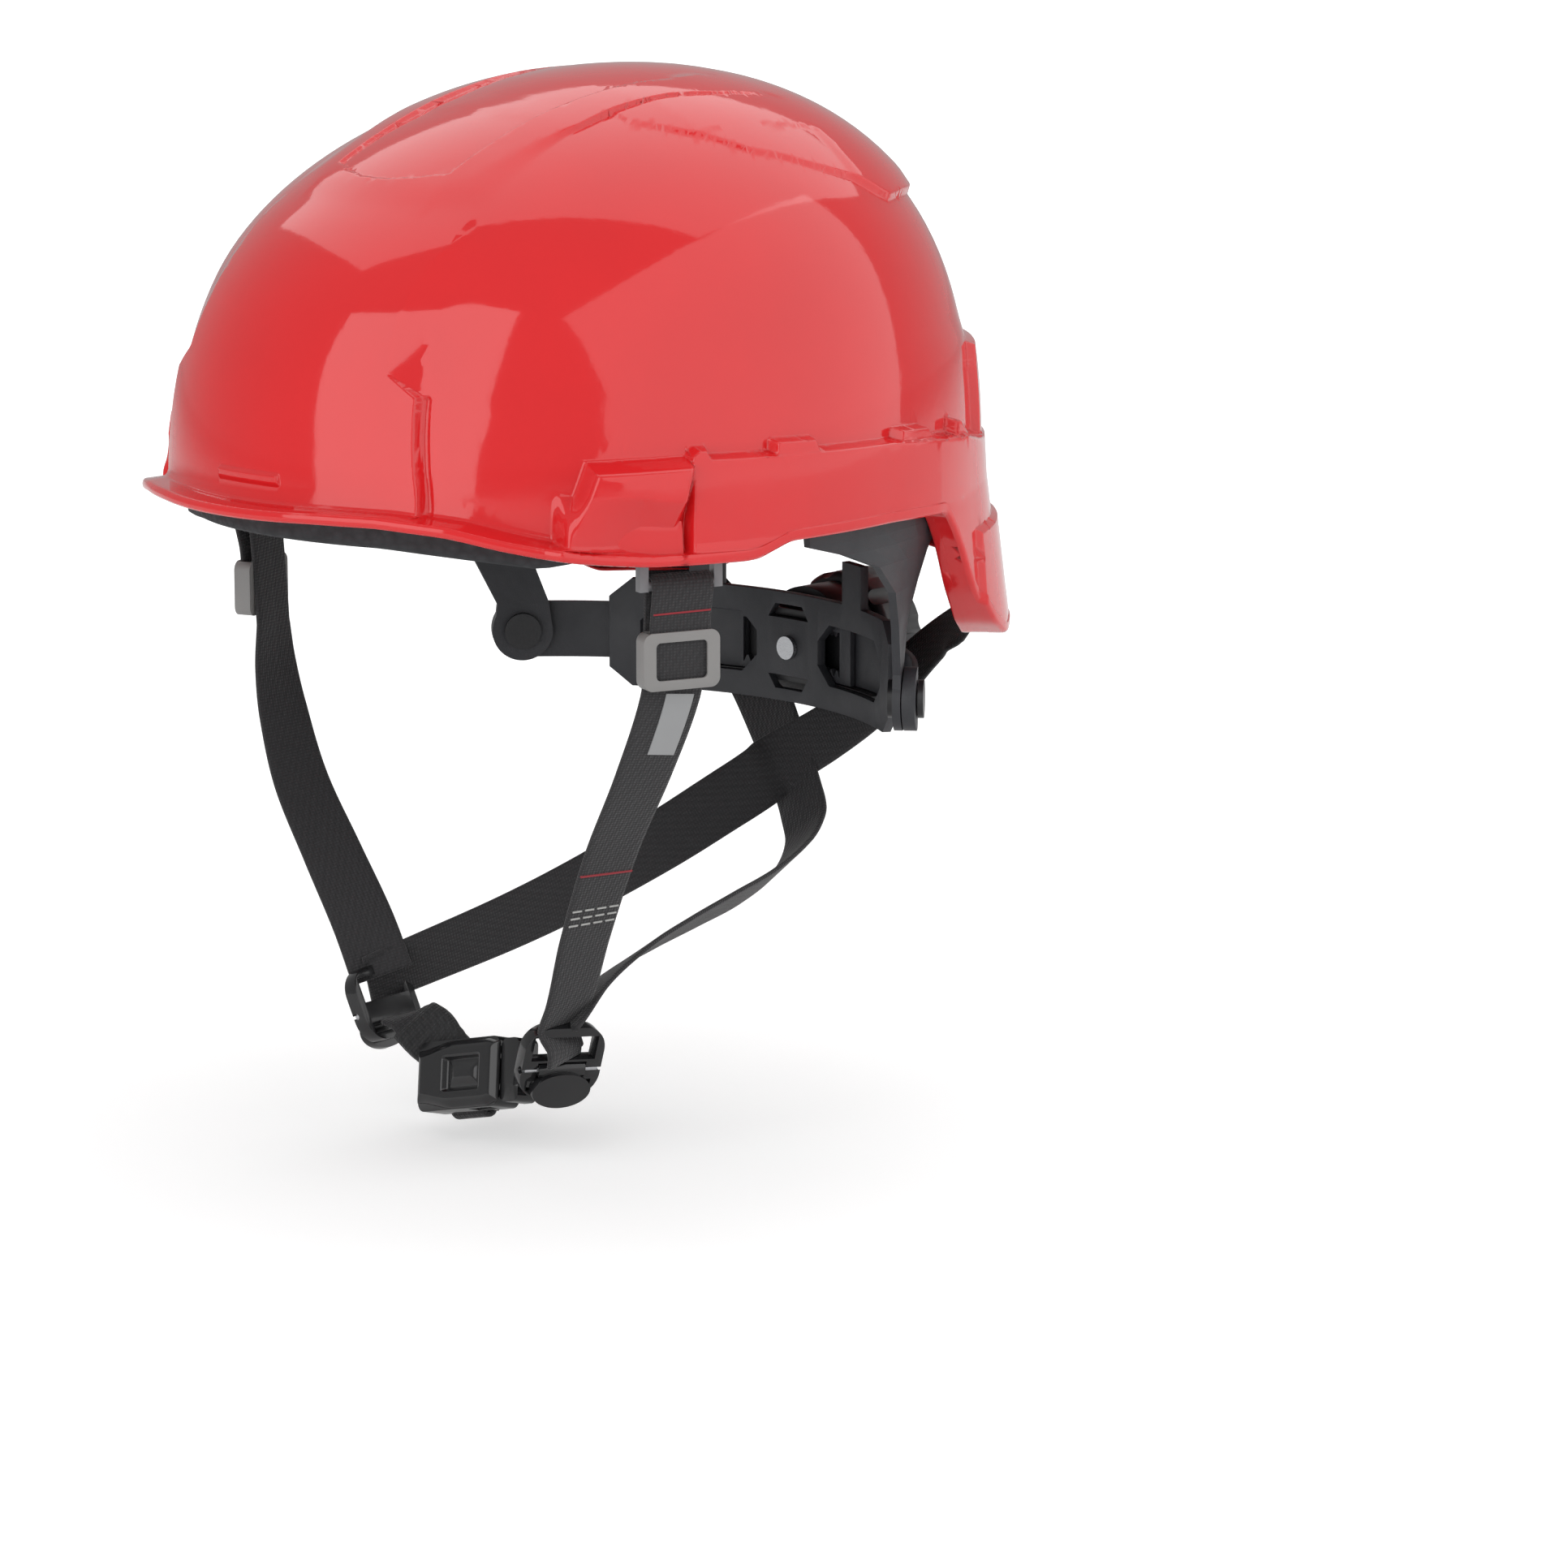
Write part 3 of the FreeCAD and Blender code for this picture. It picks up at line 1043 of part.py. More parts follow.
def make_tag():
    """Blank tag on the outside of the left front strap."""
    top, along = front_strap_top(1)
    lower = route(top[-1], strap_end(1, STRAP_LEVEL), FRONT_BOWS[1])
    first = lower[0]
    second = lower[1]
    direction = (second - first).normalize()
    twisted = blended(along, FRONT_LAST_WIDTH[1], len(lower) + 1)[1] + along
    across = (twisted - direction * twisted.dot(direction)).normalize()
    outward = direction.cross(across).normalize()
    if outward.x < 0:
        outward = outward * -1
    middle = (first + second) * 0.5 + outward * (WEBBING_THICKNESS / 2 + SKIN_GAP) + across * TAG_OFFSET
    tag = block(0, TAG_THICKNESS, -TAG_WIDTH / 2, TAG_WIDTH / 2, -TAG_LENGTH / 2, TAG_LENGTH / 2)
    return placed(tag, middle, outward, direction * -1)


# ================= chin strap and buckle =================
def buckle_frame():
    """Origin at the plug's root, direction into the socket and outward direction."""
    along = (BUCKLE_END - BUCKLE_START).normalize()
    outward = V(0, -0.96, 0.28)
    outward = (outward - along * outward.dot(along)).normalize()
    return BUCKLE_START, along, outward


def in_buckle(shape):
    """Local shape placed on the buckle; local z runs into the socket and local x faces forward."""
    origin, along, outward = buckle_frame()
    return placed(shape, origin, outward, along)


def make_plug():
    """Left divider and buckle plug, moulded in one: ring, neck, base and centre tongue."""
    half = BUCKLE_WIDTH / 2
    base = rounded_plate(BUCKLE_WIDTH - 2, PLUG_BASE_LENGTH, BUCKLE_THICKNESS - 1, 2.4)
    thick = TONGUE_THICKNESS / 2
    wide = TONGUE_WIDTH / 2
    tongue = block(-thick, thick, -wide, wide, 0, PLUG_BASE_LENGTH / 2 + TONGUE_LENGTH)
    body = fused([base, tongue])
    for edge in (1, -1):
        slot = sorted((edge * (half - ARM_INSET), edge * (half - ARM_INSET + ARM_WIDTH)))
        body = body.cut(block(-2.0, 2.0, slot[0], slot[1], 1.0, 9.0))
    ring_corner = divider_point(1, 0, -DIVIDER_WIDTH / 2 + PLUG_NECK_INSET, -4.0)
    reach = ring_corner - BUCKLE_START
    thick = PLUG_NECK_THICKNESS / 2
    wide = PLUG_NECK_WIDTH / 2
    neck = block(-thick, thick, -wide, wide, 0, reach.Length)
    neck = placed(neck, BUCKLE_START, buckle_frame()[2], reach)
    return fused([in_buckle(body), neck, divider_body(1)])


def make_arm(edge):
    """Springy side arm of the plug whose barb holds in the socket's side window."""
    half = BUCKLE_WIDTH / 2
    inner = half - ARM_INSET
    outline = [(inner, 1.0), (inner + ARM_WIDTH, 1.0), (inner + ARM_WIDTH, 11.5), (half - 0.4, 12.5),
               (half - 0.4, 16.0), (inner + 1.0, 19.5), (inner - 0.6, 19.5), (inner, 15.0)]
    points = [V(-1.8, edge * y, z) for y, z in outline]
    return in_buckle(polygon_face(points).extrude(V(3.6, 0, 0)))


def socket_start():
    """How far from the plug's root the socket begins."""
    return PLUG_BASE_LENGTH / 2 + PART_GAP


def cavity_end():
    """How far from the plug's root the socket's hollow ends."""
    return PLUG_BASE_LENGTH / 2 + TONGUE_LENGTH + CAVITY_SPARE


def make_socket():
    """Hollow half of the buckle with side windows for the arms and a rear bar for the chin strap."""
    half = BUCKLE_WIDTH / 2
    thick = BUCKLE_THICKNESS / 2
    body = rounded_plate(BUCKLE_WIDTH, SOCKET_LENGTH, BUCKLE_THICKNESS, SOCKET_CORNER)
    body.translate(V(0, 0, socket_start() + SOCKET_LENGTH / 2))
    for edge in (-1, 1):
        middle = CHIN_BAR_MIDDLE + edge * (CHIN_BAR_LENGTH / 2 - 1.0)
        ear = block(-thick - CHIN_BAR_DEPTH - CHIN_BAR_RADIUS, -thick + 1, CHIN_BAR_Y - CHIN_BAR_RADIUS,
                    CHIN_BAR_Y + CHIN_BAR_RADIUS, middle - 1.0, middle + 1.0)
        body = body.fuse(ear)
    bar = Part.makeCylinder(CHIN_BAR_RADIUS, CHIN_BAR_LENGTH,
                            V(-thick - CHIN_BAR_DEPTH, CHIN_BAR_Y, CHIN_BAR_MIDDLE - CHIN_BAR_LENGTH / 2))
    body = body.fuse(bar)
    deep = CAVITY_THICKNESS / 2
    body = body.cut(block(-deep, deep, BUCKLE_WALL - half, half - BUCKLE_WALL, 0, cavity_end()))
    window = block(-deep, deep, -FAR, FAR, SOCKET_WINDOW_START, cavity_end())
    return in_buckle(body.cut(window).removeSplitter())


def chin_strap_points():
    """Middle line of the chin strap: down from the right divider and round the socket's bar."""
    origin, along, outward = buckle_frame()
    up = along.cross(outward)
    thick = BUCKLE_THICKNESS / 2
    loop = CHIN_BAR_RADIUS + SKIN_GAP + WEBBING_THICKNESS / 2
    centre = origin + along * CHIN_BAR_MIDDLE - outward * (thick + CHIN_BAR_DEPTH) + up * CHIN_BAR_Y
    fold = []
    for index in range(6):
        turn = math.radians(180 - 36 * index)
        fold.append(centre + outward * (loop * math.cos(turn)) - up * (loop * math.sin(turn)))
    fold.append(fold[-1] + up * 7.0)
    start = divider_point(-1, -STRAP_LEVEL, 0, CHIN_SLOT_Z + 1.0)
    before = centre - outward * loop + up * 9.0
    middle = start * 0.45 + before * 0.55 + SLEEVE_SAG
    return [start, middle, before] + fold


def chin_strap_widths(count):
    """Width directions of the chin strap at each point of its middle line."""
    along = buckle_frame()[1]
    first = divider_point(-1, 0, 1, 0) - divider_point(-1, 0, 0, 0)
    if along.dot(first) < 0:
        first = first * -1
    return blended(first, along, 3) + [along] * (count - 3)


def make_chin_strap():
    """Short strap between the right divider and the buckle's socket."""
    points = chin_strap_points()
    return ribbon(points, chin_strap_widths(len(points)), CHIN_STRAP_WIDTH, WEBBING_THICKNESS)


def make_sleeve():
    """Elastic sleeve round the chin strap."""
    points = chin_strap_points()
    widths = chin_strap_widths(len(points))
    ends = [points[1] * (1 - share) + points[2] * share for share in SLEEVE_SPAN]
    turns = [widths[1] * (1 - share) + widths[2] * share for share in SLEEVE_SPAN]
    room = 2 * SLEEVE_GAP
    wide = CHIN_STRAP_WIDTH + room
    thick = WEBBING_THICKNESS + room
    outer = ribbon(ends, turns, wide + 2 * SLEEVE_WALL, thick + 2 * SLEEVE_WALL)
    step = (ends[1] - ends[0]) * 0.5
    inner = ribbon([ends[0] - step, ends[1] + step], turns, wide, thick)
    return outer.cut(inner)


if __name__ == "__main__":
    os.makedirs("parts", exist_ok=True)
    save("shell", make_shell())
    save("impact_liner", make_liner())
    save("brow_pad", make_brow_pad())
    for index, name in ((0, "centre"), (1, "left"), (-1, "right")):
        save("crown_pad_" + name, make_crown_pad(index))
    for side, name in ((1, "left"), (-1, "right")):
        save("band_rack_" + name, make_rack(side))
        save("band_rivet_" + name, make_rivet(side))
        save("band_strut_" + name, make_strut(side))
        save("front_hanger_" + name, make_hanger(side))
        save("hanger_pin_" + name, make_hanger_pin(side))
        save("rear_anchor_" + name, make_anchor(side))
        save("front_strap_" + name, make_front_strap(side))
        save("rear_strap_" + name, make_rear_strap(side))
        save("strap_slider_" + name, make_slider(side))
        save("divider_lever_" + name, make_lever(side))
        save("lever_pin_" + name, make_lever_pin(side))
    save("nape_cradle", make_cradle())
    save("ratchet_housing", make_housing())
    save("detent_ring", make_detent_ring())
    save("knob_pawls", make_pawls())
    save("drive_pinion", make_pinion())
    save("knob_screw", make_knob_screw())
    save("ratchet_knob", make_knob())
    save("knob_accent", make_knob_accent())
    save("strap_tag", make_tag())
    save("strap_divider_right", divider_body(-1))
    save("strap_sleeve", make_sleeve())
    save("buckle_plug", make_plug())
    save("plug_arm_front", make_arm(1))
    save("plug_arm_rear", make_arm(-1))
    save("buckle_socket", make_socket())
    save("chin_strap", make_chin_strap())
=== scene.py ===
# %% [markdown]
# # A climbing helmet, piece by piece
# The helmet has a glossy moulded shell, a foam liner with pads, a nape cradle with a ratchet knob,
# and a chin harness of flat webbing. The CAD model already fixes every size and every joint, so this
# lesson loads it as a frame and only builds looks on top of it. A point measured in the CAD model is
# the same point here, in metres.

# %% Load the fixed frame
import json
import math
import bmesh
import bpy
import numpy as np
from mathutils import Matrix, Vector

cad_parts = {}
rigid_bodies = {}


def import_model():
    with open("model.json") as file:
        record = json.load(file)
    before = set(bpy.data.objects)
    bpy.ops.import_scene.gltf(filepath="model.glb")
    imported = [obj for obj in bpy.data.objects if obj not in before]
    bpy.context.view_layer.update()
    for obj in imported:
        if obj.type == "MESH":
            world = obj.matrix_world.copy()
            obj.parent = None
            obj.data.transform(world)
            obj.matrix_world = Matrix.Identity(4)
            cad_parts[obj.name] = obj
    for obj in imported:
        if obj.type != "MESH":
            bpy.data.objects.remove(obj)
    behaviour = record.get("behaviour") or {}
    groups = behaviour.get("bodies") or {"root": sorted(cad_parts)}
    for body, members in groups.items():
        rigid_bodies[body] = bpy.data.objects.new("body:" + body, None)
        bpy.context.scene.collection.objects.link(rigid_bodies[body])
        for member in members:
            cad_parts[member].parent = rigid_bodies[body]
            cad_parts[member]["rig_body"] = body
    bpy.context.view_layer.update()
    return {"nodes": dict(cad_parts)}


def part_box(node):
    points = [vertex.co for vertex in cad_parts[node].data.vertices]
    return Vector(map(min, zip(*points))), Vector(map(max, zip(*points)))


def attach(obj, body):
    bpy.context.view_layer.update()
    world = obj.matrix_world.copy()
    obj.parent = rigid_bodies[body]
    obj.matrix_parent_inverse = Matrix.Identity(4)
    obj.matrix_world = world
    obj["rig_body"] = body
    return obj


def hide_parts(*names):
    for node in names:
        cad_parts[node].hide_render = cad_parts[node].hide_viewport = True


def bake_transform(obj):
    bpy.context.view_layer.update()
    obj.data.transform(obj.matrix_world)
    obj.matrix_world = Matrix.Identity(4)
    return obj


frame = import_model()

MM = 0.001
scene = bpy.context.scene

# %% [markdown]
# ## Finishes
# Real plastic is never one flat colour. A moulded part has a fine grain or a faint orange peel, rubbed
# edges are a little paler, and the pigment varies slowly. Each finish below is a small node tree. One
# helper adds a Principled shader, and two more add noise to its colour and a bump to its surface, so
# that every finish is described in a few lines. Object coordinates keep the pattern still when a
# piece moves.

# %% Helpers for node materials
def new_finish(name, colour, roughness, **constants):
    """A material with a Principled shader; constants are set on the shader's own sockets."""
    material = bpy.data.materials.new(name)
    material.use_nodes = True
    tree = material.node_tree
    shader = tree.nodes["Principled BSDF"]
    shader.inputs["Base Color"].default_value = (*colour, 1.0)
    shader.inputs["Roughness"].default_value = roughness
    for socket, value in constants.items():
        shader.inputs[socket.replace("_", " ")].default_value = value
    material.diffuse_color = (*colour, 1.0)
    return material, tree, shader


def coordinates(tree, kind="Object", scale=(1.0, 1.0, 1.0)):
    source = tree.nodes.new("ShaderNodeTexCoord")
    mapping = tree.nodes.new("ShaderNodeMapping")
    mapping.inputs["Scale"].default_value = scale
    tree.links.new(source.outputs[kind], mapping.inputs["Vector"])
    return mapping.outputs["Vector"]


def noise(tree, vector, scale, detail=2.0, roughness=0.5):
    node = tree.nodes.new("ShaderNodeTexNoise")
    node.inputs["Scale"].default_value = scale
    node.inputs["Detail"].default_value = detail
    node.inputs["Roughness"].default_value = roughness
    tree.links.new(vector, node.inputs["Vector"])
    return node.outputs["Fac"]


def ramp(tree, value, stops):
    """Colour ramp; stops are (position, colour) pairs."""
    node = tree.nodes.new("ShaderNodeValToRGB")
    elements = node.color_ramp.elements
    while len(elements) < len(stops):
        elements.new(0.5)
    for element, (position, colour) in zip(elements, stops):
        element.position = position
        element.color = (*colour, 1.0)
    tree.links.new(value, node.inputs["Fac"])
    return node.outputs["Color"]


def spread(tree, value, low, high, out_low, out_high):
    """Map a value from one range to another."""
    node = tree.nodes.new("ShaderNodeMapRange")
    for socket, number in zip(("From Min", "From Max", "To Min", "To Max"), (low, high, out_low, out_high)):
        node.inputs[socket].default_value = number
    tree.links.new(value, node.inputs["Value"])
    return node.outputs["Result"]


def maths(tree, operation, first, second):
    node = tree.nodes.new("ShaderNodeMath")
    node.operation = operation
    for socket, value in zip(node.inputs, (first, second)):
        if isinstance(value, (int, float)):
            socket.default_value = value
        else:
            tree.links.new(value, socket)
    return node.outputs["Value"]


def bump(tree, shader, height, distance, strength=1.0, socket="Normal"):
    node = tree.nodes.new("ShaderNodeBump")
    node.inputs["Distance"].default_value = distance
    node.inputs["Strength"].default_value = strength
    tree.links.new(height, node.inputs["Height"])
    tree.links.new(node.outputs["Normal"], shader.inputs[socket])
    return node


def scaled(colour, factor):
    return tuple(min(1.0, c * factor) for c in colour)


# %% [markdown]
# ### Moulded plastics
# The shell is glossy: a clear, smooth skin with a very faint ripple that bends reflections. The black
# parts are matt with a fine spark-eroded grain, and the buckle is a smoother black that catches
# light. All three share one recipe with different numbers: slow colour noise, fine grain noise for the
# bump, and a roughness that varies a little where hands polish it.

# %% Plastics
def plastic(name, colour, roughness, grain, depth, vary=0.06, **constants):
    """Moulded plastic: grain is the noise scale per metre and depth its height in metres."""
    material, tree, shader = new_finish(name, colour, roughness, **constants)
    place = coordinates(tree)
    slow = noise(tree, place, 22.0, 3.0)
    shade = ramp(tree, slow, [(0.3, scaled(colour, 1 - vary)), (0.7, scaled(colour, 1 + vary))])
    tree.links.new(shade, shader.inputs["Base Color"])
    fine = noise(tree, place, grain, 3.0, 0.6)
    worn = spread(tree, noise(tree, place, 60.0, 4.0), 0.3, 0.7, roughness * 0.85, roughness * 1.2)
    tree.links.new(worn, shader.inputs["Roughness"])
    bump(tree, shader, fine, depth)
    return material


RED = (0.68, 0.015, 0.018)
shell_gloss = plastic("shell_gloss", RED, 0.075, 90.0, 0.00006, 0.03, Coat_Weight=0.35, Coat_Roughness=0.03)
band_grained = plastic("band_grained", (0.030, 0.031, 0.036), 0.5, 2400.0, 0.00006)
trim_satin = plastic("trim_satin", (0.016, 0.016, 0.018), 0.36, 1800.0, 0.00003)
buckle_polished = plastic("buckle_polished", (0.012, 0.012, 0.013), 0.16, 300.0, 0.00003, Coat_Weight=0.2)
slider_grey = plastic("slider_grey", (0.235, 0.23, 0.225), 0.42, 1900.0, 0.00004)
hanger_grey = plastic("hanger_grey", (0.20, 0.205, 0.215), 0.4, 1900.0, 0.00004)
accent_gloss = plastic("accent_gloss", (0.62, 0.02, 0.03), 0.3, 900.0, 0.00002)
tag_film = plastic("tag_film", (0.33, 0.335, 0.34), 0.5, 3000.0, 0.00002, 0.04)
print("plastics:", 8)

# %% [markdown]
# ### Steel, foam and cloth
# Pins and screws are brushed steel: noise stretched along one axis gives the drawn lines. The liner is
# foam of fused beads, so a cell pattern makes its bump. The pads are a knit over soft foam, and the
# webbing is woven. Webbing is drawn from its own flat coordinates, across and along the strap in
# metres, because the weave has to follow the strap round every bend.

# %% Steel, foam and knit
def brushed_steel(name, colour):
    material, tree, shader = new_finish(name, colour, 0.28, Metallic=1.0)
    lines = noise(tree, coordinates(tree, scale=(1.0, 1.0, 14.0)), 700.0, 4.0)
    tree.links.new(spread(tree, lines, 0.3, 0.7, 0.2, 0.42), shader.inputs["Roughness"])
    bump(tree, shader, lines, 0.00002)
    return material


def cells(tree, vector, scale, feature="F1"):
    node = tree.nodes.new("ShaderNodeTexVoronoi")
    node.feature = feature
    node.inputs["Scale"].default_value = scale
    tree.links.new(vector, node.inputs["Vector"])
    return node.outputs["Distance"]


def bead_foam(name, colour):
    material, tree, shader = new_finish(name, colour, 0.82)
    place = coordinates(tree)
    bead = cells(tree, place, 330.0)
    # The colour follows the bead relief: a painted highlight on each bead's top and painted shade in the
    # hollows between beads.
    shade = ramp(tree, bead, [(0.0, scaled(colour, 1.15)), (0.75, scaled(colour, 0.7))])
    tree.links.new(shade, shader.inputs["Base Color"])
    bump(tree, shader, maths(tree, "MULTIPLY", bead, -1.0), 0.0004)
    return material


def knit(name, colour, pitch):
    """Knitted cloth: a pattern of small cells for the loops, with fuzz, pitch per metre; its colour has a
    painted highlight on each loop and painted shade in the gaps.
    """
    material, tree, shader = new_finish(name, colour, 0.9, Sheen_Weight=0.25, Sheen_Roughness=0.4)
    place = coordinates(tree)
    loops = cells(tree, coordinates(tree, scale=(1.0, 1.6, 1.2)), pitch)
    fuzz = noise(tree, place, pitch * 2.0, 4.0)
    height = maths(tree, "ADD", maths(tree, "MULTIPLY", loops, -1.0), maths(tree, "MULTIPLY", fuzz, 0.3))
    # Painted highlight and shade: the colour is paler where the loops stand high and darker in the low gaps
    # between them.
    shade = ramp(tree, loops, [(0.0, scaled(colour, 1.5)), (0.7, scaled(colour, 0.5))])
    tree.links.new(shade, shader.inputs["Base Color"])
    bump(tree, shader, height, 0.0005)
    return material


pin_steel = brushed_steel("pin_steel", (0.55, 0.56, 0.58))
liner_foam = bead_foam("liner_foam", (0.035, 0.036, 0.04))
pad_knit = knit("pad_knit", (0.022, 0.023, 0.026), 900.0)
print("steel, foam, knit ready")

# %% Woven webbing
def wave(tree, vector, scale, direction="X", distortion=0.0):
    node = tree.nodes.new("ShaderNodeTexWave")
    node.bands_direction = direction
    node.inputs["Scale"].default_value = scale
    node.inputs["Distortion"].default_value = distortion
    node.inputs["Detail"].default_value = 1.0
    tree.links.new(vector, node.inputs["Vector"])
    return node.outputs["Fac"]


def woven(name, colour, across=285.0, along=340.0, depth=0.00009):
    """Plain-woven webbing on UVs in metres: ribs along the strap crossed by picks over and under, with a
    painted highlight on raised threads and painted shade in the low weave.
    """
    material, tree, shader = new_finish(name, colour, 0.78, Sheen_Weight=0.18, Sheen_Roughness=0.5)
    flat = coordinates(tree, "UV")
    ribs = wave(tree, flat, across, "X")
    picks = wave(tree, flat, along, "Y", 0.6)
    twill = wave(tree, coordinates(tree, "UV", (1.0, 0.55, 1.0)), across * 0.9, "DIAGONAL")
    fuzz = noise(tree, flat, 2600.0, 3.0)
    thread = maths(tree, "MULTIPLY", maths(tree, "ADD", ribs, twill), maths(tree, "ADD", picks, 0.4))
    height = maths(tree, "ADD", thread, maths(tree, "MULTIPLY", fuzz, 0.5))
    # Painted light and shade: the colour follows the weave's height, darker in the low parts and paler on the
    # raised threads.
    shade = ramp(tree, spread(tree, height, 0.2, 2.4, 0.0, 1.0),
                 [(0.0, scaled(colour, 0.7)), (0.5, colour), (1.0, scaled(colour, 1.4))])
    tree.links.new(shade, shader.inputs["Base Color"])
    bump(tree, shader, height, depth)
    return material


strap_weave = woven("strap_weave", (0.021, 0.020, 0.022))
elastic_weave = woven("elastic_weave", (0.016, 0.016, 0.017), 240.0, 300.0, 0.0001)
thread_red = woven("thread_red", (0.42, 0.02, 0.035), 300.0, 500.0, 0.0001)
thread_white = woven("thread_white", (0.62, 0.62, 0.6), 300.0, 500.0, 0.0001)
print("weaves ready")

# %% [markdown]
# ## The shell as one formula
# The shell is injection moulded, so its walls are smooth everywhere and its panels end in crisp small
# bevels. Sculpting that by hand gives wobbly reflections. Here the whole skin is one function instead:
# a turn round the helmet and a place along the wall give a point. Panels, ledges and grooves are a
# height that this function adds to a plain dome. Sizes are in millimetres until the mesh is made.

# %% The plain dome
HALF_WIDTH, HALF_LENGTH, HEIGHT, WALL = 111.0, 134.8, 127.4, 2.6
SHOULDER, ROUND = 2.83, 2.02
CENTRE_Y, CROWN_SHIFT, CROWN_SHIFT_POWER = 1.2, 16.7, 3.26
FLARE = 0.07
QUARTER = math.pi / 2
DROP_PER_RADIAN = 100.0


def dome(turn, climb, out):
    """Point on the dome moved out by out. Climb is 0 at the top and a quarter turn at rim level."""
    angle = np.clip(climb, 0.0, QUARTER)
    drop = np.maximum(climb - QUARTER, 0.0) * DROP_PER_RADIAN
    share = np.cos(angle) ** (2 / SHOULDER)
    size = np.sin(angle) ** (2 / ROUND)
    shift = CENTRE_Y + CROWN_SHIFT * share ** CROWN_SHIFT_POWER
    x = ((HALF_WIDTH + out) * size + FLARE * drop) * np.cos(turn)
    y = ((HALF_LENGTH + out) * size + FLARE * drop) * np.sin(turn) + shift
    return x, y, share * HEIGHT + out * share ** 2 - drop


def climb_at(z):
    """The climb at which the plain dome has height z."""
    share = np.clip(z / HEIGHT, 0.0, 1.0)
    return np.where(z > 0, np.arccos(share ** (SHOULDER / 2)), QUARTER - z / DROP_PER_RADIAN)


print("rim ellipse in mm:", 2 * HALF_WIDTH, "x", 2 * HALF_LENGTH)

# %% [markdown]
# ## Panels and grooves
# Each raised feature is an outline seen from the side, from the front or from above. The distance from
# a point to that outline says how far up its bevel the point is. Taking the highest feature at each
# point joins them as the mould does, and grooves are taken away last.

# %% Distance to an outline
def inside_distance(across, up, outline):
    """Distance to a closed outline, positive inside it."""
    nearest = np.full(across.shape, 1e9)
    crossings = np.zeros(across.shape, bool)
    for (x0, y0), (x1, y1) in zip(outline, outline[1:] + outline[:1]):
        dx, dy = x1 - x0, y1 - y0
        along = np.clip(((across - x0) * dx + (up - y0) * dy) / (dx * dx + dy * dy), 0, 1)
        gap = np.hypot(across - x0 - along * dx, up - y0 - along * dy)
        nearest = np.minimum(nearest, gap)
        if dy != 0:
            straddles = (y0 > up) != (y1 > up)
            crossings ^= straddles & (across < x0 + dx * (up - y0) / dy)
    return np.where(crossings, nearest, -nearest)


def ease(value):
    value = np.clip(value, 0.0, 1.0)
    return value * value * (3 - 2 * value)


def raised(distance, proud, bevel):
    """Height of a panel whose bevel starts at its outline."""
    return proud * ease(distance / bevel)


def along_table(value, table):
    """Straight-line reading of a table of (place, value) pairs."""
    places, values = zip(*table)
    return np.interp(value, places, values)


print("distance of (0, 0) to a 10 mm square:", inside_distance(np.zeros(1), np.zeros(1),
                                                             [(-5, -5), (5, -5), (5, 5), (-5, 5)]))

# %% Forehead panel and lamp ledge
FOREHEAD = [(-8.0, -60.0), (58.2, -60.0), (56.8, 14.0), (55.2, 30.0), (54.0, 44.6), (44.3, 52.0),
            (43.2, 60.0), (42.4, 68.0), (42.0, 75.0), (42.8, 81.0), (44.0, 87.0), (45.0, 91.0),
            (44.0, 98.0), (-8.0, 98.0)]
FOREHEAD_PROUD = [(20.0, 3.4), (52.0, 3.0), (70.0, 2.2), (84.0, 1.1), (94.0, 0.15), (98.0, 0.0)]
STRIP_FOOT = [(44.0, 53.0), (48.0, 51.9), (60.0, 51.9), (68.0, 51.5), (75.0, 50.6), (82.0, 49.3),
              (90.0, 46.2)]
STRIP_TOP = [(44.0, 43.8), (51.5, 43.6), (57.0, 42.9), (63.0, 42.3), (75.0, 41.4), (81.0, 42.2), (90.0, 44.8)]
LEDGE = [(-14.0, 15.4), (14.0, 15.4), (13.4, 20.0), (-13.4, 20.0)]
PANEL_GROOVE = [(58.6, -2.0), (57.6, 14.0), (56.2, 30.0), (55.0, 43.5)]


def forehead(x, y, z):
    """Panel at the front with its slanted side strip and the little ledge for a lamp clip."""
    ahead = y < 0
    proud = along_table(z, FOREHEAD_PROUD)
    panel = raised(inside_distance(np.abs(x), z, FOREHEAD), proud, 1.6)
    foot, top = along_table(z, STRIP_FOOT), along_table(z, STRIP_TOP)
    strip = proud * np.clip((foot - np.abs(x)) / (foot - top), 0, 1)
    strip = np.where((z > 42) & (z < 92), strip * ease((92 - z) / 4), 0)
    ledge = raised(inside_distance(x - 0.8, z, LEDGE), 5.4, 1.0)
    return np.where(ahead, np.maximum(np.maximum(panel, strip), ledge), 0)


def line_distance(across, up, points):
    """Distance to an open chain of points."""
    nearest = np.full(across.shape, 1e9)
    for (x0, y0), (x1, y1) in zip(points, points[1:]):
        dx, dy = x1 - x0, y1 - y0
        along = np.clip(((across - x0) * dx + (up - y0) * dy) / (dx * dx + dy * dy), 0, 1)
        nearest = np.minimum(nearest, np.hypot(across - x0 - along * dx, up - y0 - along * dy))
    return nearest


def groove(distance, depth, half_width):
    return depth * ease((half_width - distance) / half_width * 1.4)


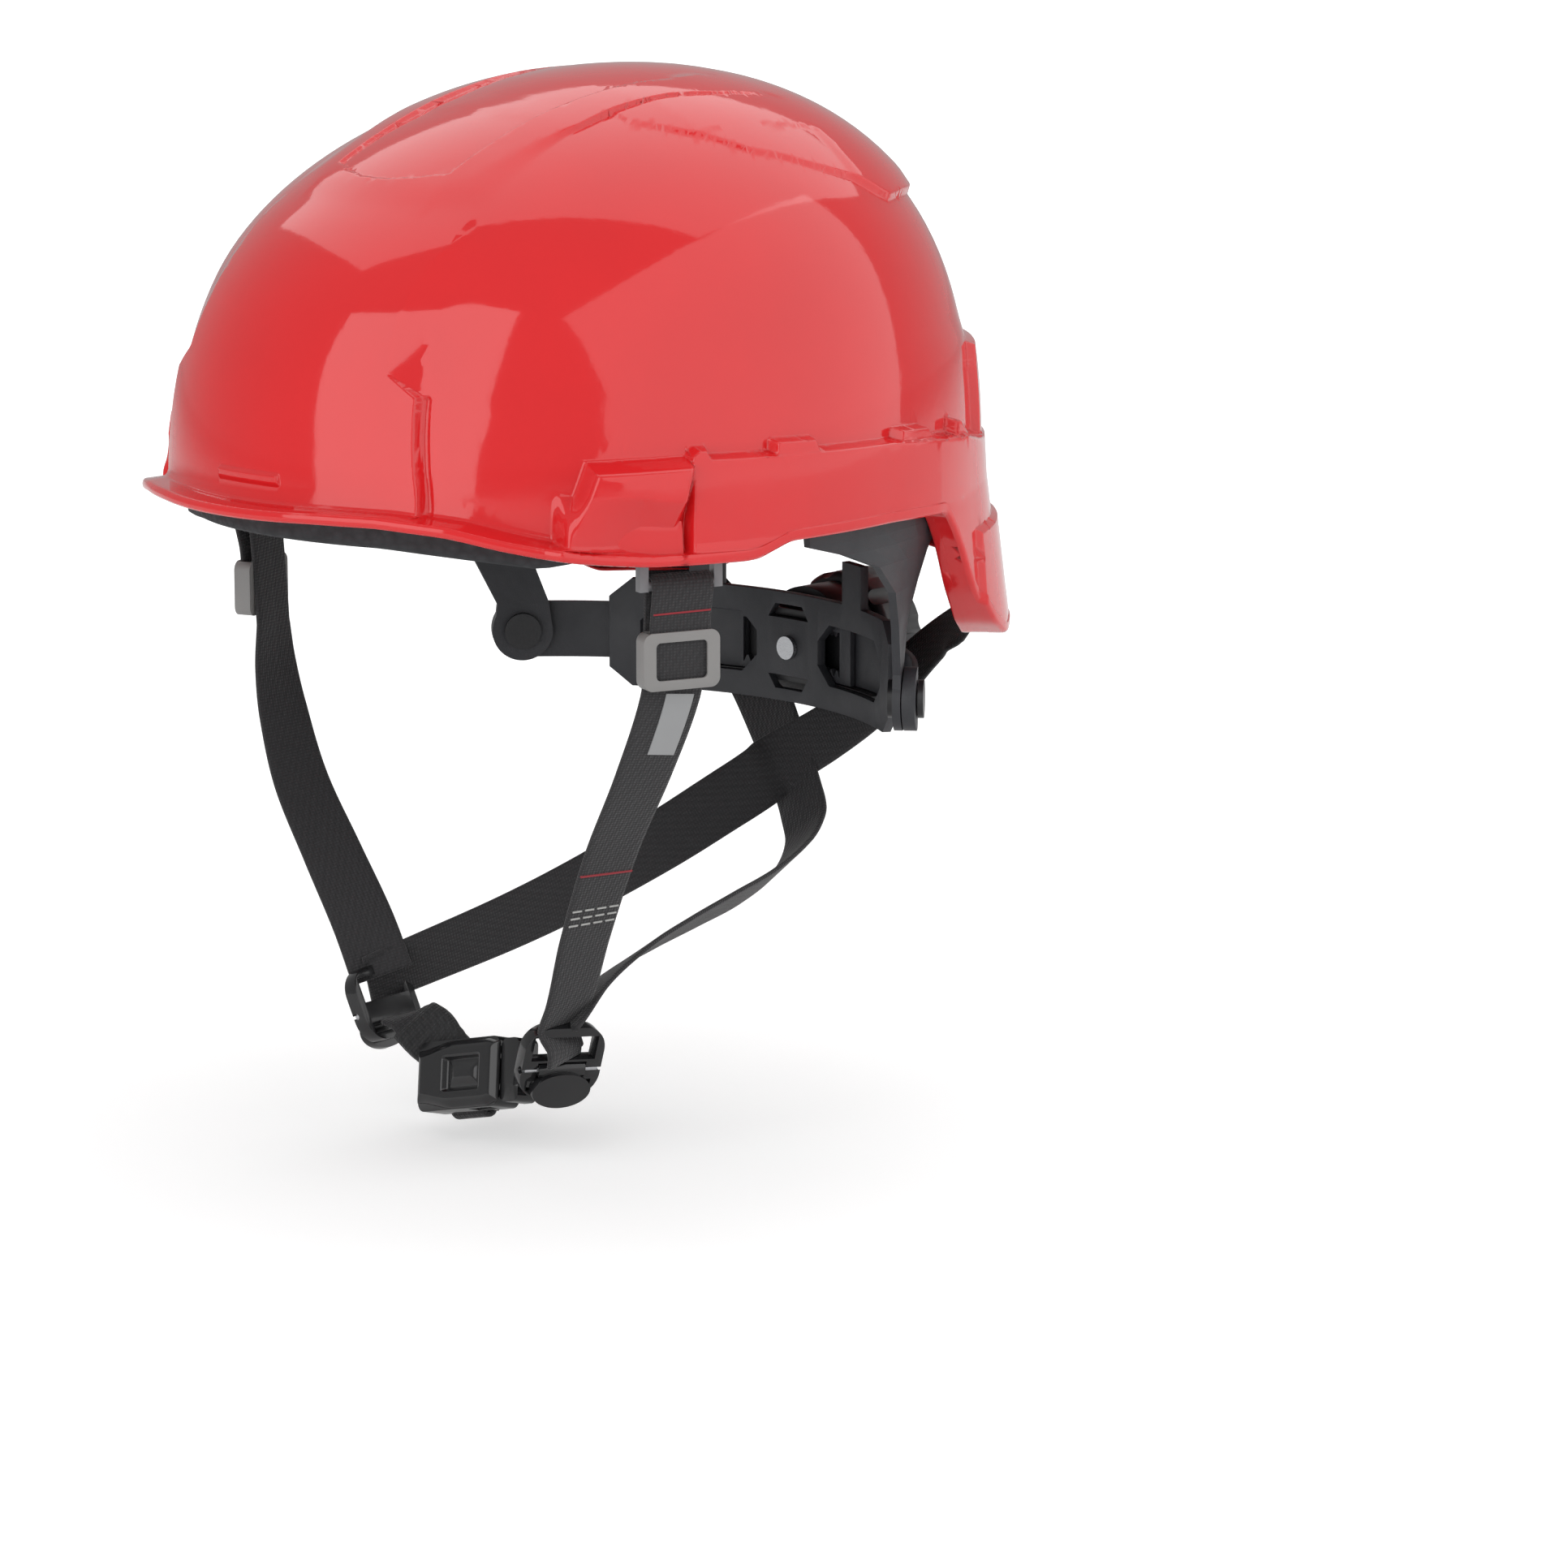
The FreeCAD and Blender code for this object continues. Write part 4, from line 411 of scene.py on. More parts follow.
# %% Band, clip tabs, slot boxes and rear panel
BAND = [(-56.5, -60.0), (-55.5, 26.0), (-52.5, 28.2), (-48.6, 28.2), (-47.6, 25.6), (-27.0, 24.9),
        (-8.5, 24.5), (24.0, 23.4), (48.0, 21.4), (71.0, 19.4), (84.0, 16.6), (100.0, 14.4),
        (160.0, 13.4), (160.0, -60.0)]
BAND_PROUD = [(-56.0, 4.8), (20.0, 4.9), (46.5, 6.0), (75.0, 4.6), (100.0, 3.9), (140.0, 4.2)]
BAND_GROOVE = [(-46.5, 26.4), (-27.0, 25.8), (-8.5, 25.4), (24.0, 24.3), (48.0, 22.3), (74.0, 19.8)]
TABS = [[(-27.5, 20.0), (-26.7, 28.6), (-10.4, 27.9), (-7.4, 20.0)],
        [(25.6, 19.0), (27.0, 26.3), (43.0, 25.3), (47.8, 19.0)],
        [(60.0, 16.0), (62.6, 24.6), (66.0, 24.2), (73.0, 19.0), (73.0, 16.0)]]
LEG_STEP = [(74.0, -60.0), (74.0, -12.0), (160.0, -12.0), (160.0, -60.0)]
SLOT_BOX = [(-97.5, -12.0), (-93.4, 0.0), (-87.4, 14.0), (-83.4, 25.6), (-50.6, 26.0), (-53.4, 14.0),
            (-57.2, -2.2), (-86.0, -2.4)]
REAR_PANEL = [(93.0, -60.0), (93.0, 35.0), (97.0, 43.0), (160.0, 44.0), (160.0, -60.0)]
REAR_RIB = [(-8.0, -60.0), (14.0, -60.0), (17.5, 62.0), (10.0, 90.0), (-8.0, 92.0)]


def sides(x, y, z):
    """Band round the sides and back with its clip tabs, slot boxes, leg thickening and rear panel."""
    spread_out = 0.05 * np.clip(12 - z, 0, 60) * ease((y - 60) / 40)
    band = raised(inside_distance(y, z, BAND), along_table(y, BAND_PROUD) + spread_out, 1.7)
    legs = raised(inside_distance(y, z, LEG_STEP), 1.9, 1.6)
    slot = raised(inside_distance(y, z, SLOT_BOX), 8.8, 4.4)
    tabs = [raised(inside_distance(y, z, tab), 4.3, 1.4) for tab in TABS]
    rear = raised(inside_distance(y, z, REAR_PANEL), 2.9, 1.8)
    rib = raised(inside_distance(np.abs(x), z, REAR_RIB), 1.6, 2.4)
    highest = np.maximum.reduce([band + legs, slot, rear + np.where(y > 0, rib, 0), *tabs])
    gutter = groove(line_distance(y, z, BAND_GROOVE), 0.8, 2.0)
    return np.where(highest < 0.4, highest - gutter, highest)


# %% Crown: recessed middle panel, ridges beside it and the swept crest behind
RIDGE = [(-8.0, -98.0), (30.0, -94.0), (45.0, -80.0), (42.0, -58.0), (39.6, -42.0), (38.6, -20.0),
         (39.4, 2.0), (43.0, 24.0), (48.0, 46.0), (50.0, 72.0), (40.0, 96.0), (-8.0, 108.0)]
RIDGE_EDGE = [(-98.0, 14.0), (-70.0, 12.0), (-48.0, 4.0), (-36.0, 1.1), (22.0, 1.1), (50.0, 8.0),
              (80.0, 16.0)]
RIDGE_PROUD = [(-98.0, 0.9), (-60.0, 1.0), (-40.0, 1.7), (-10.0, 2.2), (20.0, 2.2), (60.0, 2.0)]
RECESS = [(-8.0, -86.4), (6.0, -86.2), (15.4, -83.2), (25.2, -77.6), (25.2, -50.0), (25.8, -30.0),
          (26.6, 0.0), (28.0, 14.0), (24.0, 40.0), (-8.0, 48.0)]
RECESS_DEPTH = [(-86.0, 1.5), (-30.0, 1.5), (14.0, 0.45), (44.0, 0.0)]
CREST = [(-22.0, 118.6), (-10.0, 115.0), (-3.5, 113.4), (7.0, 108.8), (17.0, 106.6), (27.0, 103.4),
         (44.0, 98.2), (54.0, 93.0), (60.0, 90.6), (75.0, 90.6), (96.0, 89.0), (160.0, 88.0),
         (160.0, 160.0), (-22.0, 160.0)]
CREST_PROUD = [(-22.0, 0.5), (-4.0, 1.3), (30.0, 1.6), (60.0, 2.2), (100.0, 2.6)]


def crown(x, y, z):
    """Ridges and crest over the top, with the recessed panel between the ridges."""
    over = z > 60
    ridge = raised(inside_distance(np.abs(x), y, RIDGE), along_table(y, RIDGE_PROUD),
                   along_table(y, RIDGE_EDGE))
    crest = raised(inside_distance(y, z, CREST), along_table(y, CREST_PROUD), 2.0)
    crest *= 1 - 0.3 * ease((np.abs(x) - 59) / 2.2) * ease((y + 8) / 6) * ease((48 - y) / 6)
    hollow = raised(inside_distance(np.abs(x), y, RECESS), along_table(y, RECESS_DEPTH), 1.8)
    return np.where(over, np.maximum(ridge, crest) - hollow, 0)


def relief(turn, climb):
    """Height of all features over the plain dome at a turn and a climb."""
    x, y, z = dome(turn, climb, 3.0)
    waist = -0.9 * ease((y - 30) / 50) * ease((z - 40) / 12) * ease((97 - z) / 9)
    waist -= (0.6 * ease((-y - 60) / 30) * ease((z - 30) / 14) * ease((80 - z) / 24)
              * ease((np.abs(x) - 52) / 6))
    cut = np.where(y < 0, groove(line_distance(np.abs(x), z, PANEL_GROOVE), 0.9, 1.2), 0)
    highest = np.maximum.reduce([forehead(x, y, z), sides(x, y, z), crown(x, y, z)])
    return np.where(highest < 0.4, highest - cut, highest) + np.where(highest > 2.6, 0, waist)


sample = relief(np.radians([-90.0, 0.0, 90.0]), np.full(3, 1.5))
print("relief at front, side and back in mm:", sample.round(1))

# %% [markdown]
# ## Rim and brim
# The lower edge runs from the brim at the front, along the sides, and down into two legs that hold
# the rear straps. Its height is a table read at each turn and then averaged over a few millimetres, which
# rounds the corners as the mould's cutter would. From there a short path leads over the brim's top,
# round its lip, under it and up inside, with small arcs at each corner.

# %% Height of the rim at each turn
RIM = [(-152.0, 6.6), (-135.3, 6.8), (-130.0, 7.2), (-121.8, 6.9), (-109.5, 4.3), (-99.7, 0.6), (-91.0, -2.0),
       (-83.0, -3.8), (-75.3, -5.0), (-62.8, -6.4), (-33.0, -7.0),
       (-22.0, -2.6), (22.0, -2.2), (50.5, -3.2), (59.0, -13.9), (68.5, -30.5), (80.0, -43.0), (91.0, -49.0),
       (200.0, -49.0)]
REAR_GAP = [(0.0, -32.0), (47.0, -32.0), (55.0, -49.0), (60.0, -90.0)]
RIM_SAMPLES = 6000
RIM_AVERAGE = 15
FULL_TURN = 2 * math.pi


def rim_table():
    turns = np.arange(RIM_SAMPLES) * FULL_TURN / RIM_SAMPLES
    x = (HALF_WIDTH + 2) * np.cos(turns)
    y = (HALF_LENGTH + 2) * np.sin(turns) + CENTRE_Y
    low = along_table(y, RIM)
    gap = along_table(np.abs(x), REAR_GAP)
    low = np.where(y > 60, np.maximum(low, gap), low)
    kernel = np.ones(2 * RIM_AVERAGE + 1) / (2 * RIM_AVERAGE + 1)
    wrapped = np.concatenate([low[-2 * RIM_AVERAGE:], low, low[:2 * RIM_AVERAGE]])
    for _ in range(2):
        wrapped = np.convolve(wrapped, kernel, "same")
    return wrapped[2 * RIM_AVERAGE:-2 * RIM_AVERAGE]


RIM_LOW = rim_table()


def rim_low(turn):
    return np.interp(np.mod(turn, FULL_TURN), np.arange(RIM_SAMPLES + 1) * FULL_TURN / RIM_SAMPLES,
                     np.append(RIM_LOW, RIM_LOW[0]))


print("rim from", RIM_LOW.min().round(1), "to", RIM_LOW.max().round(1), "mm")

# %% Stations of the path over the brim
BRIM_SIDE, BRIM_FRONT, BRIM_THICKNESS = 5.0, 14.0, 3.5
ROOT_RADIUS, LIP_RADIUS, HEM_RADIUS, HEM_BEAD = 2.2, 1.5, 0.9, 0.4
ARC = 4
SLOT_MOUTH = (-80.0, -55.5)
SLOT_OUTER, SLOT_INNER, SLOT_DEPTH = 6.2, 0.4, 13.0


def arc_stations(centre, height, radius, start, end):
    """Offsets and heights round a small arc; centre is the pair of offsets in X and Y."""
    for step in range(ARC):
        angle = math.radians(start + (end - start) * step / (ARC - 1))
        reach = radius * math.cos(angle)
        yield centre[0] + reach, centre[1] + reach, height + radius * math.sin(angle)


def brim_stations(turn):
    """Offsets from the plain rim ellipse and heights along the path, one row per station."""
    low = rim_low(turn)
    y = HALF_LENGTH * np.sin(turn) + CENTRE_Y
    shelf = ease((-16 - y) / 22)
    top = low + BRIM_THICKNESS
    wall = relief(turn, climb_at(top + 1.0)) + FLARE * np.maximum(-top, 0)
    reach = tuple(np.maximum(wall + HEM_BEAD, overhang * shelf) for overhang in (BRIM_SIDE, BRIM_FRONT))
    width = reach[0] * np.cos(turn) ** 2 + reach[1] * np.sin(turn) ** 2 - wall
    root = np.minimum(ROOT_RADIUS, width / 2)
    lip = np.minimum(LIP_RADIUS, width / 2)
    stations = list(arc_stations((wall + root, wall + root), top + root, root, 180, 270))
    stations += arc_stations((reach[0] - lip, reach[1] - lip), top - lip, lip, 90, 0)
    under_lip = (reach[0] - LIP_RADIUS, reach[1] - LIP_RADIUS)
    stations += arc_stations(under_lip, low + LIP_RADIUS, LIP_RADIUS, 0, -90)
    mouth = 0.1 + ease((y - SLOT_MOUTH[0]) / 0.8) * ease((SLOT_MOUTH[1] - y) / 0.8) * SLOT_DEPTH
    outer = np.minimum(SLOT_OUTER, reach[0] - LIP_RADIUS - 0.1)
    outer = np.maximum(outer, HEM_RADIUS - WALL + 0.4)
    inner = np.maximum(np.minimum(SLOT_INNER, outer - 0.3), HEM_RADIUS - WALL + 0.1)
    stations += [(outer, outer, low), (outer, outer, low + mouth)]
    stations += [(inner, inner, low + mouth), (inner, inner, low)]
    hem = HEM_RADIUS - WALL
    stations += arc_stations((hem, hem), low + HEM_RADIUS, HEM_RADIUS, 270, 180)
    return [np.stack([np.broadcast_to(part, turn.shape) for part in station]) for station in stations], wall


STATIONS = 5 * ARC
print("stations over the brim:", STATIONS)

# %% One function for the whole skin
def skin(turn, place):
    """Point of the shell's skin. Place 0 to 1 is outside, 1 to 2 goes over the rim, 2 to 3 is inside."""
    points = np.zeros((3, turn.size))
    stations, wall = brim_stations(turn)
    first, last = stations[0], stations[-1]
    outside, within = place <= 1, place >= 2
    climb = np.where(outside, place, 3 - place) * climb_at(np.where(outside, first[2], last[2]))
    climb = np.maximum(climb, 1e-4)
    lift = relief(turn, climb)
    near_rim = np.clip((place - 0.97) / 0.03, 0, 1)
    flare = FLARE * np.maximum(-first[2], 0)
    lift = lift + near_rim * (wall - flare - lift)
    outer = dome(turn, climb, lift)
    inner = dome(turn, climb, -WALL)
    table = np.stack(stations)
    row = np.clip((place - 1) * (STATIONS - 1), 0, STATIONS - 1 - 1e-9)
    below = row.astype(int)
    columns = np.arange(turn.size)
    mix = row - below
    offset_x, offset_y, height = table[below, :, columns].T * (1 - mix) + table[below + 1, :, columns].T * mix
    rim = ((HALF_WIDTH + offset_x) * np.cos(turn), (HALF_LENGTH + offset_y) * np.sin(turn) + CENTRE_Y, height)
    for axis in range(3):
        points[axis] = np.where(outside, outer[axis], np.where(within, inner[axis], rim[axis]))
    return points.T


TURN_STEP, PLACE_STEP = 0.003, 0.002


def skin_normals(turn, place):
    """Outward direction from small steps along the skin."""
    around = skin(turn + TURN_STEP, place) - skin(turn - TURN_STEP, place)
    low, high = np.maximum(place - PLACE_STEP, 0.001), np.minimum(place + PLACE_STEP, 2.999)
    down = skin(turn, high) - skin(turn, low)
    normal = np.cross(down, around)
    return normal / np.maximum(np.linalg.norm(normal, axis=1, keepdims=True), 1e-9)


print("apex in mm:", skin(np.zeros(1), np.full(1, 0.001)).round(1))

# %% [markdown]
# ## A mesh that is fine only where it has to be
# A grid fine enough for the bevels would need over a million faces. A subdivision surface would soften
# every crisp edge by the same amount. So the grid starts coarse, and each edge is cut in half when its
# middle lies off the true skin or when the skin turns too much along it. Faces next to a cut edge are
# cut to match, so no holes appear. The true direction of the skin is kept at each vertex for shading.

# %% Split the edges that miss the skin
COLUMNS, OUTER_ROWS, INNER_ROWS = 220, 46, 12


def start_grid():
    """Turn and place of each vertex of the first grid, and its triangles."""
    places = np.concatenate([np.linspace(0.012, 1, OUTER_ROWS), 1 + np.arange(1, STATIONS) / (STATIONS - 1),
                             np.linspace(2, 2.97, INNER_ROWS)[1:]])
    turns = np.arange(COLUMNS) * FULL_TURN / COLUMNS
    params = np.stack(np.meshgrid(places, turns, indexing="ij"), -1)[..., ::-1].reshape(-1, 2)
    row, column = np.meshgrid(np.arange(len(places) - 1), np.arange(COLUMNS), indexing="ij")
    a = row * COLUMNS + column
    b = row * COLUMNS + (column + 1) % COLUMNS
    c, d = a + COLUMNS, b + COLUMNS
    faces = np.concatenate([np.stack([a, c, b], -1).reshape(-1, 3), np.stack([b, c, d], -1).reshape(-1, 3)])
    return params, faces, len(places)


def middle_params(params, ends):
    """Turn and place half way along each edge, the short way round."""
    first, second = params[ends[:, 0]], params[ends[:, 1]]
    step = np.mod(second[:, 0] - first[:, 0] + math.pi, FULL_TURN) - math.pi
    return np.stack([first[:, 0] + step / 2, (first[:, 1] + second[:, 1]) / 2], -1)


def refine(params, points, normals, faces, bend, miss, longest, shortest):
    """One round of cuts: split edges that are long, bent or off the skin, and the faces beside them."""
    sides = np.sort(np.concatenate([faces[:, [0, 1]], faces[:, [1, 2]], faces[:, [2, 0]]]), axis=1)
    edges, lookup = np.unique(sides, axis=0, return_inverse=True)
    lookup = lookup.reshape(3, -1).T
    start, end = points[edges[:, 0]], points[edges[:, 1]]
    length = np.linalg.norm(end - start, axis=1)
    turned = np.einsum("ij,ij->i", normals[edges[:, 0]], normals[edges[:, 1]]) < math.cos(math.radians(bend))
    centre = middle_params(params, edges)
    inside_place = centre[:, 1] > 2.02
    limit = np.where(inside_place, 18.0, longest)
    wanted = (length > limit) | (turned & (length > shortest) & ~inside_place)
    maybe = np.flatnonzero(~wanted & (length > shortest) & ~inside_place)
    off = skin(centre[maybe, 0], centre[maybe, 1]) - (start[maybe] + end[maybe]) / 2
    wanted[maybe[np.linalg.norm(off, axis=1) > miss]] = True
    new = np.full(len(edges), -1)
    new[wanted] = len(params) + np.arange(wanted.sum())
    added = centre[wanted]
    return np.concatenate([params, added]), added, cut_faces(faces, new[lookup])


def cut_faces(faces, middles):
    """Triangles after the cuts; middles holds the new vertex of each side, or -1."""
    done = [faces[(middles < 0).all(axis=1)]]
    for turn in range(3):
        f, m = np.roll(faces, -turn, axis=1), np.roll(middles, -turn, axis=1)
        one = (m[:, 0] >= 0) & (m[:, 1] < 0) & (m[:, 2] < 0)
        g, k = f[one], m[one]
        done += [np.stack([g[:, 0], k[:, 0], g[:, 2]], -1), np.stack([k[:, 0], g[:, 1], g[:, 2]], -1)]
        two = (m[:, 0] >= 0) & (m[:, 1] >= 0) & (m[:, 2] < 0)
        g, k = f[two], m[two]
        done += [np.stack([k[:, 0], g[:, 1], k[:, 1]], -1), np.stack([g[:, 0], k[:, 0], k[:, 1]], -1),
                 np.stack([g[:, 0], k[:, 1], g[:, 2]], -1)]
    three = (middles >= 0).all(axis=1)
    g, k = faces[three], middles[three]
    done += [np.stack([g[:, 0], k[:, 0], k[:, 2]], -1), np.stack([k[:, 0], g[:, 1], k[:, 1]], -1),
             np.stack([k[:, 2], k[:, 1], g[:, 2]], -1), k]
    return np.concatenate(done)


ROUNDS = [(20.0, 0.40, 6.0, 2.4), (17.0, 0.20, 6.0, 1.6), (14.0, 0.11, 6.0, 1.0), (14.0, 0.09, 6.0, 0.75)]


def refined_skin():
    params, faces, rows = start_grid()
    points, normals = skin(*params.T), skin_normals(*params.T)
    for bend, miss, longest, shortest in ROUNDS:
        params, added, faces = refine(params, points, normals, faces, bend, miss, longest, shortest)
        points = np.concatenate([points, skin(*added.T)])
        normals = np.concatenate([normals, skin_normals(*added.T)])
    return points, normals, faces, rows


shell_points, shell_normals, shell_faces, shell_rows = refined_skin()
print("shell skin:", len(shell_points), "vertices,", len(shell_faces), "triangles")

# %% Turn the skin into a mesh
def add_caps(points, normals, faces, rows):
    """Close the two small openings at the top, outside and inside."""
    count = len(points)
    ring = np.arange(COLUMNS)
    inner_ring = (rows - 1) * COLUMNS + ring
    tops = np.array([[0, points[ring, 1].mean(), points[ring, 2].max()],
                     [0, points[inner_ring, 1].mean(), points[inner_ring, 2].max()]])
    outer = np.stack([np.full(COLUMNS, count), ring, np.roll(ring, -1)], -1)
    inner = np.stack([np.full(COLUMNS, count + 1), np.roll(inner_ring, -1), inner_ring], -1)
    up = np.array([[0, 0, 1.0], [0, 0, -1.0]])
    faces = np.concatenate([faces, outer, inner])
    return np.concatenate([points, tops]), np.concatenate([normals, up]), faces


def mesh_object(name, points, faces, material, scale=MM):
    mesh = bpy.data.meshes.new(name)
    mesh.from_pydata((np.asarray(points) * scale).tolist(), [], np.asarray(faces).tolist()
                     if isinstance(faces, np.ndarray) else faces)
    mesh.materials.append(material)
    made = bpy.data.objects.new(name, mesh)
    scene.collection.objects.link(made)
    mesh.shade_smooth()
    return made


def weld(made, gap=2e-6):
    """Join vertices that lie on each other and drop faces with no area."""
    work = bmesh.new()
    work.from_mesh(made.data)
    bmesh.ops.remove_doubles(work, verts=work.verts, dist=gap)
    bmesh.ops.dissolve_degenerate(work, edges=work.edges, dist=gap)
    work.to_mesh(made.data)
    work.free()


def keep_normals(made, normals):
    """Shade with the true directions; they travel through the weld as an attribute."""
    store = made.data.attributes.new("true_normal", "FLOAT_VECTOR", "POINT")
    store.data.foreach_set("vector", normals.astype(np.float32).ravel())
    weld(made)
    kept = np.zeros(len(made.data.vertices) * 3, np.float32)
    made.data.attributes["true_normal"].data.foreach_get("vector", kept)
    made.data.attributes.remove(made.data.attributes["true_normal"])
    made.data.normals_split_custom_set_from_vertices(kept.reshape(-1, 3).tolist())


points, normals, faces = add_caps(shell_points, shell_normals, shell_faces, shell_rows)
shell = mesh_object("shell_skin", points, faces, shell_gloss)
keep_normals(shell, normals)
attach(shell, "shell_and_harness")
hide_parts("shell")
print("shell mesh:", len(shell.data.polygons), "faces")

# %% [markdown]
# ## Foam liner and pads
# The liner is one block of expanded beads that fills the upper shell and stops above the ears. It is
# made like the shell, as an outside, a rounded lower edge and an inside, but it needs no fine
# detail, so an even grid will do. The pads are thin foam in a knitted cover. They are thickest in the
# middle and thin to nothing at the edge, where the cover is welded shut.

# %% Compare a piece with its CAD node
def compare(piece, node):
    """Print the piece's box beside the box of the node it stands for, in metres."""
    corners = np.array([v.co for v in piece.data.vertices])
    print(piece.name, "model", corners.min(0).round(3), corners.max(0).round(3), "CAD", *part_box(node))


# %% Liner
LINER_EDGE = [(-200.0, 1.0), (-125.0, -2.0), (-94.0, -7.5), (-82.0, -5.5), (-72.0, 1.0), (-66.0, 13.5),
              (94.0, 13.5), (108.0, -16.0), (200.0, -16.0)]
LINER_OUT, LINER_IN, LINER_ROUND = -2.9, -19.9, 3.0


def liner_point(turn, place):
    """Place 0 to 1 is the outside, 1 to 2 the lower edge, 2 to 3 the inside."""
    low = along_table(HALF_LENGTH * np.sin(turn), LINER_EDGE)
    angle = np.clip(place - 1, 0, 1) * math.pi
    middle, half = (LINER_OUT + LINER_IN) / 2, (LINER_OUT - LINER_IN) / 2
    out = middle + half * np.cos(angle)
    height = low - LINER_ROUND * (1 - (1 - np.sin(angle)) ** 2) + LINER_ROUND
    share = np.where(place <= 1, place, np.where(place >= 2, 3 - place, 1.0))
    climb = np.maximum(share * climb_at(height), 1e-4)
    groove_depth = 1.6 * ease(1 - np.abs(np.abs(dome(turn, climb, out)[0]) - 19) / 3.5) * (place > 2)
    return np.stack(dome(turn, climb, out + groove_depth), -1)


def grid_mesh(name, rows, columns, point, finish, closed=True):
    """A grid of quads from point(u, v); rows and columns are arrays of v and u."""
    u, v = np.meshgrid(columns, rows)
    points = point(u.ravel(), v.ravel())
    wide = len(columns)
    faces = []
    for row in range(len(rows) - 1):
        for column in range(wide if closed else wide - 1):
            a, b = row * wide + column, row * wide + (column + 1) % wide
            faces.append((a, a + wide, b + wide, b))
    return mesh_object(name, points, faces, finish)


def face_out(made):
    """Weld the mesh and turn every face outward."""
    work = bmesh.new()
    work.from_mesh(made.data)
    bmesh.ops.remove_doubles(work, verts=work.verts, dist=2e-6)
    bmesh.ops.recalc_face_normals(work, faces=work.faces)
    work.to_mesh(made.data)
    work.free()


liner_rows = np.concatenate([np.linspace(0.0, 1, 34), np.linspace(1, 2, 10)[1:], np.linspace(2, 3, 34)[1:]])
liner = grid_mesh("foam_liner", liner_rows, np.arange(168) * FULL_TURN / 168, liner_point, liner_foam)
face_out(liner)
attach(liner, "shell_and_harness")
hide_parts("impact_liner")
print("liner faces:", len(liner.data.polygons))

# %% Comfort pads
PAD_BACK, PAD_THICK = -20.2, 5.0
PAD_LONG, PAD_WIDE = 40, 16


def under_dome(x, y, out):
    """Point of the dome moved by out that lies above x and y."""
    shift = np.full_like(x, CENTRE_Y)
    for _ in range(20):
        size = np.clip(np.hypot(x / (HALF_WIDTH + out), (y - shift) / (HALF_LENGTH + out)), 1e-4, 0.999)
        share = np.cos(np.arcsin(size ** (ROUND / 2))) ** (2 / SHOULDER)
        shift = CENTRE_Y + CROWN_SHIFT * share ** CROWN_SHIFT_POWER
    return np.stack([x, y, share * HEIGHT + out * share ** 2], -1)


def swell(u, v):
    """Pad thickness as a share: full in the middle, quilted along it, nothing at the edge."""
    edge = np.clip((1 - (2 * u - 1) ** 8) * (1 - (2 * v - 1) ** 8), 0, 1) ** 0.5
    return edge * (0.86 + 0.14 * np.abs(np.sin(6 * math.pi * u)) ** 0.5)


def pad_mesh(name, place):
    """A closed pad: a flat back, then the same grid again lifted by its thickness."""
    u, v = np.meshgrid(np.linspace(0, 1, PAD_LONG + 1), np.linspace(0, 1, PAD_WIDE + 1))
    u, v = u.ravel(), v.ravel()
    points = np.concatenate([place(u, v, PAD_BACK), place(u, v, PAD_BACK - PAD_THICK * swell(u, v))])
    count, faces = len(u), []
    line = PAD_LONG + 1
    for row in range(PAD_WIDE):
        for column in range(PAD_LONG):
            a = row * line + column
            faces.append((a, a + 1, a + line + 1, a + line))
            faces.append((count + a, count + a + line, count + a + line + 1, count + a + 1))
    pad = mesh_object(name, points, faces, pad_knit)
    face_out(pad)
    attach(pad, "shell_and_harness")
    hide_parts(name.replace("_cushion", ""))
    return pad


def brow_place(u, v, out):
    turn = np.arctan2(-np.ones_like(u), (2 * u - 1) * 0.62)
    return np.stack(dome(turn, climb_at(3.0 + 18.0 * v), out), -1)


def crown_place(middle, half_length):
    def place(u, v, out):
        x = middle + 12.6 * (2 * v - 1)
        return under_dome(x, 4.7 + half_length * (2 * u - 1), out)
    return place


pads = [pad_mesh("brow_pad_cushion", brow_place)]
for side, middle, half_length in (("left", 38.0, 82.0), ("centre", 0.0, 96.0), ("right", -38.0, 82.0)):
    pads.append(pad_mesh(f"crown_pad_{side}_cushion", crown_place(middle, half_length)))
for pad in pads:
    compare(pad, pad.name.replace("_cushion", ""))

# %% [markdown]
# ## Webbing
# The harness is flat polyester webbing, woven on a narrow loom and cut to length. A strap follows the
# middle line of its CAD strip. At each point it also needs the direction of its width, because webbing
# twists between its ends. A rounded flat outline swept along that line gives a soft edge that catches
# the light, and the weave lies on it in real millimetres.

# %% Sweep a flat strap along its line
STEP = 1.6
EDGE_STEPS, ACROSS_STEPS = 5, 6


